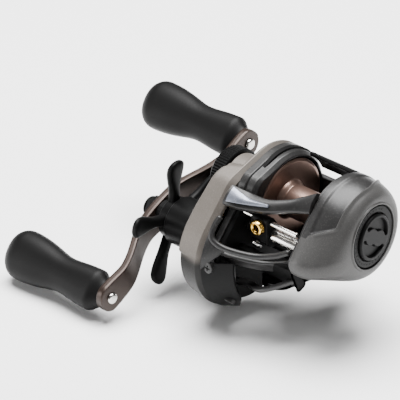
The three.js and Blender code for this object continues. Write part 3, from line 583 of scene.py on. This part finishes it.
coverRows = coverShell(coverLook, caseOutline)
driveBoss = [(0, -25), (14.6, -25), (14.2, -31.6), (12.4, -32.6), (11.4, -35.2), (10.9, -36.0), (0, -36.0)]
spoolBoss = [
    (0, -37.8), (8.4, -37.8), (8.4, -23.7), (9.6, -23.7), (9.6, -38.3), (9.2, -38.6),
    (7.1, -38.6), (7.1, -43.0), (0, -43.0),
]
gearCover = [
    patch(np.stack(coverRows)),
    turned(driveBoss, *drive, bevel=0.5),
    turned(spoolBoss, bevel=0.35),
]
makePiece("gearCover", gearCover, paint["coverPaint"], "frame", ["gear_cover"])
print("gear cover made")

# Collar round the drive shaft, with turned grooves near the cover
collarLook = {"start": -36.3, "end": -53.1, "bore": 8.0, "outer": 9.75, "grooves": (-38.2, -39.6, -41.0)}
bore, outer = collarLook["bore"], collarLook["outer"]
floorAt = outer - 0.4
collarLine = [(bore, collarLook["start"]), (outer, collarLook["start"])]
for x in collarLook["grooves"]:
    collarLine += [(outer, x + 0.35), (floorAt, x + 0.2), (floorAt, x - 0.2), (outer, x - 0.35)]
collarLine += [(outer, collarLook["end"] + 0.7), (9.1, collarLook["end"]), (bore, collarLook["end"])]
collar = turned(collarLine, *drive, bevel=0.12, shut=True)
makePiece("driveCollar", [collar], paint["satinBlack"], "frame", ["drive_collar"])

# Cast control cap: a knurled band, its radius less a cosine ripple
castLook = {"ridges": 60, "depth": 0.5}


# Ridge depth = a cosine round the rim, kept to the middle of the band.
def knurl(r, x, a):
    band = smooth(r, 10.3, 10.6) * smooth(x, -44.6, -44.2) * (1 - smooth(x, -39.5, -39.2))
    return castLook["depth"] * band * (0.5 + 0.5 * np.cos(castLook["ridges"] * a))


castBand = [(10.9, x) for x in np.linspace(-39.6, -44.1, 7)]
castLine = [
    (0, -44.0), (7.4, -44.0), (7.5, -38.9), (10.4, -38.9), (10.9, -39.3), *castBand, (10.9, -44.4),
    (10.2, -45.1), (8.8, -45.1), (8.4, -44.8), (0, -44.8),
]
castCap = turned(castLine, bevel=0.15, count=720, ripple=knurl)
makePiece("castControlCap", [castCap], paint["satinBlack"], "cast_cap", ["cast_control_cap"])
print("collar and cap made")

# Hood, badge, window bezel and lower cover
hoodLook = {"thickness": 2.4, "bevel": 0.5, "crown": 0.75}
hoodRear = [
    (-20.1, -22.4, 12), (-16, -22, 11.4), (-12, -20.8, 10.4), (-4, -20.2, 10.8), (4, -17, 12.6),
    (8, -14.6, 14.4), (13, -12.0, 16.8),
]
hoodFront = [
    (-20.1, -28.6, 6.4), (-16, -28.2, 6.4), (-12, -27.2, 6.4), (-3, -24.2, 7.2), (4, -20.8, 8.6),
    (8, -18.6, 9.2), (13, -16.6, 9.8),
]
hood = strap(hoodRear, hoodFront, hoodLook["thickness"], hoodLook["bevel"], hoodLook["crown"])
makePiece("frontHood", [hood], paint["graphitePaint"], "frame", ["front_hood"])
badgeLook = {"lift": (2, -1.6, 1.6), "top": 0.1, "bottom": 0.86}


# A line on the hood at a share of the way from its rear edge to its front edge.
def badgeEdge(share):
    rear, front = np.array(hoodRear[:4]), np.array(hoodFront[:4])
    part = share + (0.5 - share) * 0.25 * np.arange(4)[:, None]
    return rear + (front - rear) * part + badgeLook["lift"]


badge = strap(badgeEdge(badgeLook["top"]), badgeEdge(badgeLook["bottom"]), 0.8, 0.3, 0.5)
makePiece("hoodBadge", [badge], paint["badgeBlue"], "frame", ["hood_badge"])
bezelLook = {"radius": 1.2, "path": [
    (-18.5, -31.8, 3.4), (-18.6, -35.6, -0.2), (-17.4, -37.6, -3.8), (-12, -36, -6.6), (-2.4, -31, -8),
    (5, -27.8, -6.4), (10.6, -25, -3.8),
]}


# A round bar along a path, its frame turned with the path.
def bar(path, radius, count=120, around=28):
    line = curve(path, count)
    along = np.gradient(line, axis=0)
    along /= np.linalg.norm(along, axis=1)[:, None]
    side = np.cross(along, [0.2, -0.7, 0.7])
    side /= np.linalg.norm(side, axis=1)[:, None]
    up = np.cross(side, along)
    a = np.linspace(0, turn, around, endpoint=False)[None]
    toEnd = np.minimum(np.arange(count), np.arange(count)[::-1]) / 3.0
    ends = np.sqrt(np.clip(1 - (1 - toEnd).clip(0) ** 2, 0.05, 1))
    r = (radius * ends)[:, None]
    return loft(line, side, up, r * np.cos(a), r * np.sin(a))


wallAngles = np.radians((122, 135, 150, 165, 178))
lobeEdge = [(-19.9, drive[0] + 23.2 * math.cos(a), drive[1] + 23.2 * math.sin(a)) for a in wallAngles]
windowEdge = [
    (-18.6, -31.6, 3.2), (-18.6, -35.4, -0.4), (-17.6, -37.4, -4.0), (-15.0, -37.0, -6.0),
    (-12.0, -36.2, -7.2),
]
bezel = [bar(bezelLook["path"], bezelLook["radius"]), strap(lobeEdge, windowEdge, 0.8, 0.2, 0.0)]
makePiece("windowBezel", bezel, paint["graphitePaint"], "frame", ["window_bezel"])


# The lower cover follows the case's front and falls back towards the palm side.
lowerLook = {
    "from": -19.8, "to": -8.5, "thick": 0.8, "first": 172, "sweep": 82, "back": 0.5, "rise": 0.175,
    "gap": 0.3, "screws": [(0.05, -17.1), (0.6, -13.5)],
}


def coverPoint(along, inset, x):
    a = np.radians(lowerLook["first"] + along * lowerLook["sweep"])
    past = x - body["rimEdge"]
    r = body["lobe"] - lowerLook["gap"] - inset
    y = drive[0] + past * lowerLook["back"] + r * np.cos(a)
    z = drive[1] + past * lowerLook["rise"] + r * np.sin(a)
    return np.stack([x + 0 * a, y, z], -1)


# A thin square section swept along x; its palm end is trimmed back towards the bottom.
def lowerShell(look):
    p, q = roundBox(np.full(40, 0.5), np.full(40, 0.5), 0.02)
    p, q = evenSections(p, q, 240)
    along = p + 0.5
    share = np.linspace(0, 1, 40)[:, None]
    trim = look["to"] - 5.2 * smooth(along, 0.45, 0.92) - 4.5 * smooth(along, 0.72, 1.0) ** 2
    reach = look["from"] + share * (trim - look["from"])
    return patch(coverPoint(along, look["thick"] * (0.5 - q), reach))


lower = [lowerShell(lowerLook)]
makePiece("lowerCover", lower, paint["satinBlack"], "frame", ["lower_front_cover"])


# A screw head: a dome less a cross, cut where either arm of the cross covers it.
def screwHead(radius, height, cross):
    r = np.concatenate([np.linspace(0.02, cross * 1.25, 22), np.linspace(cross * 1.3, radius, 12)])[:, None]
    a = np.linspace(0, turn, 96, endpoint=False)[None]
    u, v = r * np.cos(a), r * np.sin(a)
    arm = 0.26
    inCross = ((np.abs(u) < arm) & (np.abs(v) < cross)) | ((np.abs(v) < arm) & (np.abs(u) < cross))
    h = height * (1 - 0.35 * (r / radius) ** 2) + 0 * a - 0.6 * inCross
    skirt = np.stack([np.cos(a) * radius, np.sin(a) * radius, 0 * a - 0.4], 2)
    foot = np.stack([np.cos(a) * 1.2, np.sin(a) * 1.2, 0 * a - 3.3], 2)
    return patch(np.concatenate([np.stack([u, v, h], 2), skirt, foot]))


for i, (along, x) in enumerate(lowerLook["screws"]):
    at = coverPoint(np.array(along), 0, np.array(x))
    out = np.array([0, at[1] - drive[0], at[2] - drive[1]])
    out /= np.linalg.norm(out)
    side = np.cross(out, [1, 0, 0])
    head = moved(screwHead(2.1, 0.85, 1.15), np.stack([[1, 0, 0], side, out], 1), at)
    name = f"coverScrew{i + 1}"
    makePiece(name, [head], paint["graphitePaint"], "frame", [f"cover_screw_{i + 1}"])
print("front made")

# Palm plate: a dome from the case outline to the dial seat, then the dial's recess
palmLook = {
    "edge": 16.1, "lip": 13.4, "face": 28.9, "seat": 13.6, "tilt": 5.9, "centre": (28.9, 0.4, -0.7),
    "ridge": 0.5, "band": 0.46, "bandFrom": 62, "bandTo": 172, "count": 320,
    "inside": ((25.2, 11.0), (20.5, 15.2)), "rim": ((16.0, 2.6), (13.4, 0.85), (13.4, 0.35), (13.7, 0.05)),
    "recess": [(13.6, 0.0), (13.3, 0.55), (12.75, 0.5), (12.6, -1.55), (0.2, -1.6)],
}
palmShares = np.concatenate([[0.0, 0.01], np.linspace(0.03, 1, 56)])
tilt = math.radians(palmLook["tilt"])
tiltMatrix = np.array([[math.cos(tilt), -math.sin(tilt), 0], [math.sin(tilt), math.cos(tilt), 0], [0, 0, 1]])


def tiltedPart(part):
    return moved(part, tiltMatrix, palmLook["centre"])


# Width of the band that is painted dark as shade, as a share of the way from the edge to the dial, by
# direction.
def palmBand(degrees, look):
    rise = smooth(degrees, look["bandFrom"] - 40, look["bandFrom"] + 30)
    return look["band"] * rise * (1 - smooth(degrees, look["bandTo"] - 22, look["bandTo"]))


# Rows from the inside, round the rim, over the dome by shares, and down into the dial's recess.
def palmRows(look):
    a = np.linspace(0, turn, look["count"], endpoint=False)
    bearing = np.arctan2(palmOutline[:, 1], palmOutline[:, 0]) % turn
    order = np.argsort(bearing)
    edge = np.interp(a, bearing[order], np.linalg.norm(palmOutline, axis=1)[order], period=turn)
    bound = palmBand(np.degrees(a), look)
    inBand = smooth(bound, 0.02, 0.1)
    rows = [np.stack([0 * a + x, r * np.cos(a), r * np.sin(a)], 1) for x, r in look["inside"]]
    for x, inset in look["rim"]:
        r = edge - inset
        rows.append(np.stack([0 * a + x, r * np.cos(a), r * np.sin(a)], 1))
    for share in palmShares:
        bend = share * math.pi / 2
        mixed = 0.45 * max(0.0, math.cos(bend)) ** 0.8 + 0.55 * (1 - share ** 1.5)
        bulge = mixed if share < 1 else 0.0
        r = look["seat"] + (edge - look["seat"]) * bulge
        lean = -math.sin(tilt) * r * np.cos(a) * (1 - bulge)
        x = look["edge"] + (look["face"] - look["edge"]) * math.sin(bend) ** 0.9 + lean
        step = smooth(share - bound, -0.03, 0.02) * (bound > 0.01)
        crest = 1.6 * np.exp(-(((share - bound - 0.03) / 0.04) ** 2)) * inBand
        r = r - look["ridge"] * (1 - step) * inBand * smooth(share, 0, 0.06) + 0.35 * crest
        rows.append(np.stack([x, r * np.cos(a) + 0.4 * share, r * np.sin(a) - 0.7 * share], 1))
    for r, x in rounded(look["recess"], 0.18)[1:]:
        flat = np.stack([0 * a + x, r * np.cos(a), r * np.sin(a)], 1)
        rows.append(flat @ tiltMatrix.T + look["centre"])
    return np.stack(rows)


palmShell = [patch(palmRows(palmLook))]
palmPlate = makePiece("palmPlate", palmShell, paint["palmPaint"], "frame", ["palm_plate"])
# Faces of the dome inside the band take the darker paint: painted shade on that facet of the dome.
palmPlate.data.materials.append(paint["graphitePaint"])
faces = np.arange(len(palmPlate.data.polygons))
rowOf = faces // palmLook["count"]
degreesOf = (faces % palmLook["count"] + 0.5) * 360 / palmLook["count"]
shareOf = np.interp(rowOf + 0.5, np.arange(6, 6 + len(palmShares)), palmShares)
inBand = (shareOf < palmBand(degreesOf, palmLook)) & (rowOf > 4) & (rowOf < 60)
palmPlate.data.polygons.foreach_set("material_index", inBand.astype(np.int32))

# Brake dial: a ring with small pips, and a knob with two crescent hollows
dialLook = {"pips": 24, "first": 60, "pitch": 10, "pipRadius": 10.9}
ringLine = [(9.5, -1.3), (12.3, -1.3), (12.3, -0.1), (12.0, 0.2), (9.9, 0.2), (9.5, -0.1)]
dialParts = [tiltedPart(turned(ringLine, bevel=0.15, shut=True))]
pipLine = [(0, 0.0), (0.3, 0.0), (0.3, 0.3), (0, 0.36)]
for k in range(dialLook["pips"]):
    a = math.radians(dialLook["first"] + k * dialLook["pitch"])
    y = dialLook["pipRadius"] * math.cos(a)
    z = dialLook["pipRadius"] * math.sin(a)
    dot = turned(pipLine, y, z, bevel=0.1, count=16)
    dialParts.append(tiltedPart(dot))
makePiece("dialRing", dialParts, paint["satinBlack"], "frame", ["dial_scale_ring"])


# A disc whose face is cut by two crescents on either side of a straight grip bar.
knobFace = {"turn": 30, "height": 1.3, "depth": 1.2, "inner": 4.6, "bow": 1.9, "outer": 7.4}


def dialKnob(look):
    r = np.concatenate([np.linspace(0.02, 7.9, 66), np.linspace(8.0, 8.6, 5)])[:, None]
    a = np.linspace(0, turn, 288, endpoint=False)[None]
    swing = np.degrees((a + math.radians(look["turn"])) % math.pi)
    ends = smooth(swing, 14, 22) * (1 - smooth(swing, 158, 166))
    low = look["inner"] + look["bow"] * np.cos(np.radians(swing * 2))
    hollow = smooth(r, low - 0.25, low + 0.25) * (1 - smooth(r, look["outer"], look["outer"] + 0.5)) * ends
    h = look["height"] - look["depth"] * hollow + 0 * a
    top = np.stack([h, r * np.cos(a), r * np.sin(a)], 2)
    edge = [(0.95, 9.1), (0.7, 9.2), (-1.2, 9.2), (-1.2, 3.0), (-5.0, 3.0)]
    skirt = [np.stack([0 * a[0] + x, q * np.cos(a[0]), q * np.sin(a[0])], 1) for x, q in edge]
    return patch(np.concatenate([top, np.stack(skirt)]))


grip = [tiltedPart(dialKnob(knobFace))]
makePiece("brakeKnob", grip, paint["satinBlack"], "brake_dial", ["brake_knob"])
print("palm side made")

# Spool: dished flanges and an arbor, turned
spoolLine = [
    (1.65, -13.4), (15.9, -13.4), (16.5, -13.1), (16.5, -12.3), (16.1, -12.0), (15.3, -11.8),
    (7.9, -12.5), (7.4, -11.6), (6.5, -10.4), (6.5, 10.4), (7.4, 11.6), (7.9, 12.5),
    (15.3, 11.8), (16.1, 12.0), (16.5, 12.3), (16.5, 13.1), (15.9, 13.4), (1.65, 13.4),
]
spool = turned(spoolLine, bevel=0.22, shut=True, count=192)
# The spool takes the lighter bronze copy as painted light.
makePiece("spool", [spool], paint["spoolBronzeLit"], "spool_assembly", ["spool"])

# Thumb bar behind the spool
thumb = [
    arcBar(18.0, 19.8, 24, 58, -11.5, 11.5, bevel=0.5),
    arcBar(19.0, 20.5, 26, 34, -11.5, 11.5, bevel=0.6),
]
makePiece("thumbBar", thumb, paint["satinBlack"], "clutch_bar", ["thumb_bar"])

# Star drag: five paddle arms round a hub, each swelling then rounding off
starLook = {
    "reach": 26.5, "root": 5.6, "hubOut": -58.0, "first": 94.0, "arms": 5,
    "hub": [(3.4, -58.0), (7.2, -58.0), (8.4, -57.0), (8.6, -53.4), (3.4, -53.4)],
}


# A rounded section along a straight reach: wider towards the end, then closed by an ellipse.
def starArm(angle, look):
    s = np.linspace(0, 1, 48)
    reach = look["root"] + (look["reach"] - look["root"]) * s
    tip = np.sqrt(np.clip(1 - (np.maximum(0, s - 0.84) / 0.165) ** 2, 0.01, 1))
    width = (2.2 + 1.9 * smooth(s, 0.3, 0.82)) * tip
    thick = (2.0 - 0.5 * s) * np.sqrt(tip)
    x = look["hubOut"] + 2.3 + 3.0 * s**2
    out, side = (0, math.cos(angle), math.sin(angle)), (0, -math.sin(angle), math.cos(angle))
    centres = np.array([0, *drive]) + reach[:, None] * np.array(out) + x[:, None] * np.array([1, 0, 0])
    u = np.linspace(0, turn, 40, endpoint=False)[None]
    p, q = width[:, None] * power(np.cos(u), 0.75), thick[:, None] * power(np.sin(u), 0.75)
    ones = np.ones((48, 1))
    return loft(centres, ones * np.array(side), ones * np.array([1.0, 0, 0]), p, q)


armTurns = np.radians(starLook["first"] + 360 / starLook["arms"] * np.arange(starLook["arms"]))
starParts = [starArm(angle, starLook) for angle in armTurns]
starHub = turned(starLook["hub"], *drive, bevel=0.4, shut=True)
makePiece("starDrag", starParts + [starHub], paint["satinBlack"], "star", ["star_drag"])
print("spool and star made")

# Handle arm: a chamfered box section along a swept line, with an end boss at each knob
handleLook = {
    "reach": 42.5, "angle": 25.3, "thick": 3.2, "sweep": 9.0, "end": 10.6, "middle": -61.5, "chamfer": 0.55,
}
armTurn = math.radians(handleLook["angle"])
armDirection = np.array([0, math.cos(armTurn), math.sin(armTurn)])
armSide = np.array([0, -armDirection[2], armDirection[1]])
armRoot = np.array([0, *drive])


# Width follows a cosine waist between the bosses; both ends are half circles; x sweeps to the knobs.
def handleArm(look):
    half = look["reach"] + look["end"] / 2
    s = np.concatenate([np.linspace(-1, -0.93, 14), np.linspace(-0.925, 0.925, 90), np.linspace(0.93, 1, 14)])
    reach = s * half
    fromEnd = half - np.abs(reach)
    blend = smooth(np.abs(reach), 8, 34)
    tip = np.sqrt(np.clip(1 - (1 - np.minimum(1, fromEnd / (look["end"] / 2))) ** 2, 0.02, 1))
    waist = 1 + 0.14 * np.cos(turn * np.minimum(1, np.abs(reach) / look["reach"]))
    width = look["end"] / 2 * tip * waist
    x = look["middle"] - look["thick"] / 2 + look["sweep"] * blend
    centres = armRoot + reach[:, None] * armDirection + x[:, None] * np.array([1, 0, 0])
    along = np.gradient(centres, axis=0)
    along /= np.linalg.norm(along, axis=1)[:, None]
    p, q = roundBox(width, np.full(len(s), look["thick"] / 2), look["chamfer"])
    p, q = evenSections(p, q, 56)
    sideways = np.broadcast_to(armSide, centres.shape)
    return loft(centres, sideways, np.broadcast_to([1.0, 0, 0], centres.shape), p, q)


makePiece("handleArm", [handleArm(handleLook)], paint["bronzeAnodised"], "crank", ["handle_arm"])
sixths = np.radians(60 * np.arange(6))
hexagon = 4.9 * np.stack([np.cos(sixths), np.sin(sixths)], 1)
hexOutline = evenly(rounded(hexagon, 0.4, closed=True), 120) + drive
nut = ringPlate(hexOutline, circle(3.3, *drive, count=120), -68.1, -65.0)
makePiece("handleNut", [nut], paint["satinBlack"], "crank", ["handle_nut"])
cap = turned([(0, -70.2), (3.0, -70.1), (4.1, -69.4), (4.1, -68.6), (0, -68.6)], *drive, bevel=0.4)
makePiece("nutCap", [cap], paint["satinBlack"], "crank", ["nut_cap"])

# Knobs: an egg section that grows towards the outer end, on a post with a domed head
knobLook = {
    "length": 51.0, "width": 20.2, "thick": 14.0, "start": -56.0,
    "wide": (0, 0.606, 0.795), "thin": (0, -0.795, 0.606),
    "cap": [(0, -106.8), (3.2, -106.8), (3.2, -105.7), (0, -105.7)],
    "post": [(0, -103), (2.1, -103), (2.1, -52.2), (2.3, -52.2), (2.1, -51.6), (1.4, -51.3), (0, -51.2)],
}


# Half width = a waist less a bell, plus a rise to the outer end, times a neck and an elliptic tip.
def knobBody(y, z, look):
    s = np.concatenate([[0, 0.004], np.linspace(0.012, 0.86, 60), np.linspace(0.87, 1.0, 26)])
    rise = smooth(s, 0.42, 0.85)
    belly = 0.83 - 0.11 * np.exp(-(((s - 0.42) / 0.17) ** 2)) + 0.17 * rise
    neck = 0.62 + 0.38 * smooth(s, 0, 0.11)
    tip = np.sqrt(np.clip(1 - (np.maximum(0, s - 0.86) / 0.17) ** 2, 0, 1)) * neck
    tip[0] *= 0.97
    half = look["width"] / 2 * belly * tip
    deep = look["thick"] / 2 * (0.8 + 0.2 * rise) * tip
    u = np.linspace(0, turn, 96, endpoint=False)[None]
    p, q = half[:, None] * power(np.cos(u), 0.86), deep[:, None] * power(np.sin(u), 0.86)
    x = look["start"] - look["length"] * s
    centres = np.stack([x, y + 0 * x, z + 0 * x], 1)
    wide = np.broadcast_to(np.array(look["wide"]), centres.shape)
    thin = np.broadcast_to(np.array(look["thin"]), centres.shape)
    return loft(centres, wide, thin, p, q)


for end, side in (("rear", 1), ("front", -1)):
    y, z = (armRoot + side * handleLook["reach"] * armDirection)[1:]
    label = end.title()
    knob = [knobBody(y, z, knobLook)]
    makePiece(f"knob{label}", knob, paint["knobRubber"], f"{end}_knob", [f"knob_{end}"])
    cap = turned(knobLook["cap"], y, z, bevel=0.3)
    makePiece(f"knobCap{label}", [cap], paint["satinBlack"], f"{end}_knob", [f"knob_cap_{end}"])
    post = turned(knobLook["post"], y, z, bevel=0.25)
    makePiece(f"knobPost{label}", [post], paint["brightSteel"], "crank", [f"knob_post_{end}"])
print("handle made")

# Line guide: slotted tube, rod, carriage, gold ring and the pawl's cap
wormAt = (body["wormY"], body["wormZ"])
rodAt = (-22.6, 2.788)
guideSpan = (-14.9, 11.9)
guideX = -5
ringZ = (wormAt[1] + rodAt[1]) / 2 + 1.6
tube = arcBar(2.5, 3.1, 45 - 128, 45 + 128, *guideSpan, *wormAt, bevel=0.15, count=96)
makePiece("wormTube", [tube], paint["brightSteel"], "frame", ["worm_tube"])
rodLine = [(0, guideSpan[0]), (1.0, guideSpan[0]), (1.0, guideSpan[1]), (0, guideSpan[1])]
rod = turned(rodLine, *rodAt, bevel=0.1, count=48)
makePiece("guideRod", [rod], paint["brightSteel"], "frame", ["guide_rod"])
carriageOutline = outlineOf([(*wormAt, 4.3), (*rodAt, 2.3)], 160)


# A profile turned about a line along y.
def alongY(profile, x, z, bevel=0.15, shut=False, count=96):
    part = turned(profile, bevel=bevel, shut=shut, count=count)
    verts = part[0][:, [1, 0, 2]] + [x, 0, z]
    return verts, part[1][:, ::-1], part[2][:, ::-1]


snout = alongY([(1.75, -25.0), (3.3, -25.0), (3.3, -22.6), (1.75, -22.6)], guideX, ringZ, shut=True)
carriage = [plate(carriageOutline, -9.6, -1.4, 0.4), snout]
makePiece("carriage", carriage, paint["satinBlack"], "line_guide", ["line_guide_carriage"])
guideLine = [
    (1.5, -26.9), (2.0, -27.5), (2.7, -27.3), (3.0, -26.5), (3.0, -25.5), (2.3, -25.4),
    (2.3, -24.0), (1.5, -24.0),
]
guideRing = [alongY(guideLine, guideX, ringZ, shut=True)]
makePiece("guideRing", guideRing, paint["goldRing"], "line_guide", ["guide_ring"])
pawlTurn = math.radians(45)
c, s = math.cos(pawlTurn), math.sin(pawlTurn)
spin = np.array([[1, 0, 0], [0, c, -s], [0, s, c]])
pawlLine = [(0, -27.0), (1.2, -26.95), (2.2, -26.4), (2.4, -25.7), (0, -25.7)]
dome = alongY(pawlLine, -7.2, body["wormZ"], bevel=0.35)
pivot = np.array([0, *wormAt])
dome = moved(moved(dome, None, -pivot), spin, pivot)
makePiece("pawlCap", [dome], paint["chrome"], "line_guide", ["pawl_cap"])
print("line guide made")

# Floor, light and camera
floorMesh = bpy.data.meshes.new("floor")
floorLook = {"half": 4, "height": -0.023, "grey": 0.93}
half, height = floorLook["half"], floorLook["height"]
corners = [(-half, -half, height), (half, -half, height), (half, half, height), (-half, half, height)]
floorMesh.from_pydata(corners, [], [(0, 1, 2, 3)])
floor = bpy.data.objects.new("floor", floorMesh)
bpy.context.scene.collection.objects.link(floor)
floorPaint = bpy.data.materials.new("floorPaint")
floorPaint.use_nodes = True
floorShader = floorPaint.node_tree.nodes["Principled BSDF"]
floorShader.inputs["Base Color"].default_value = (*[floorLook["grey"]] * 3, 1)
floorShader.inputs["Roughness"].default_value = 0.9
floorMesh.materials.append(floorPaint)

world = bpy.data.worlds.new("studio")
world.use_nodes = True
world.node_tree.nodes["Background"].inputs[0].default_value = (1, 1, 1, 1)
world.node_tree.nodes["Background"].inputs[1].default_value = 0.14
bpy.context.scene.world = world


def areaLight(name, at, aim, size, watts):
    data = bpy.data.lights.new(name, "AREA")
    data.shape = "RECTANGLE"
    data.size, data.size_y = size
    data.energy = watts
    light = bpy.data.objects.new(name, data)
    bpy.context.scene.collection.objects.link(light)
    light.location = at
    light.rotation_euler = (Vector(aim) - Vector(at)).to_track_quat("-Z", "Y").to_euler()


lights = {
    "overhead": ((-0.15, 0.1, 0.95), (0, 0, 0), (0.9, 0.7), 52),
    "leftSide": ((-0.62, -0.82, 0.22), (0, -0.02, 0.02), (0.3, 0.4), 5),
    "rightSide": ((0.9, 0.15, 0.5), (0, 0, 0.02), (0.3, 0.5), 0.8),
}
for name, settings in lights.items():
    areaLight(name, *settings)

cameraLook = {
    "right": (0.735, 0.678, 0.0), "up": (-0.331, 0.359, 0.872), "back": (0.592, -0.641, 0.489),
    "distance": 1252.3, "focal": 3300.0, "aim": (91.25, 0.93),
}
right, up, back = (np.array(cameraLook[k]) for k in ("right", "up", "back"))
aside, above = (aim / cameraLook["focal"] for aim in cameraLook["aim"])
ahead = -back - right * aside - up * above
ahead /= np.linalg.norm(ahead)
level = right - ahead * (right @ ahead)
level /= np.linalg.norm(level)
raised = np.cross(-ahead, level)
spot = np.array([-12.0, 0, axisHeight]) + cameraLook["distance"] * back / np.linalg.norm(back)
cameraData = bpy.data.cameras.new("camera")
cameraData.sensor_width = 36
cameraData.lens = cameraLook["focal"] / 400 * 36
cameraData.clip_end = 20
camera = bpy.data.objects.new("camera", cameraData)
bpy.context.scene.collection.objects.link(camera)
placed = np.eye(4)
placed[:3, :3] = np.stack([level, raised, -ahead], 1)
placed[:3, 3] = spot * mm
camera.matrix_world = Matrix(placed.tolist())
bpy.context.scene.camera = camera
print("light and camera set")
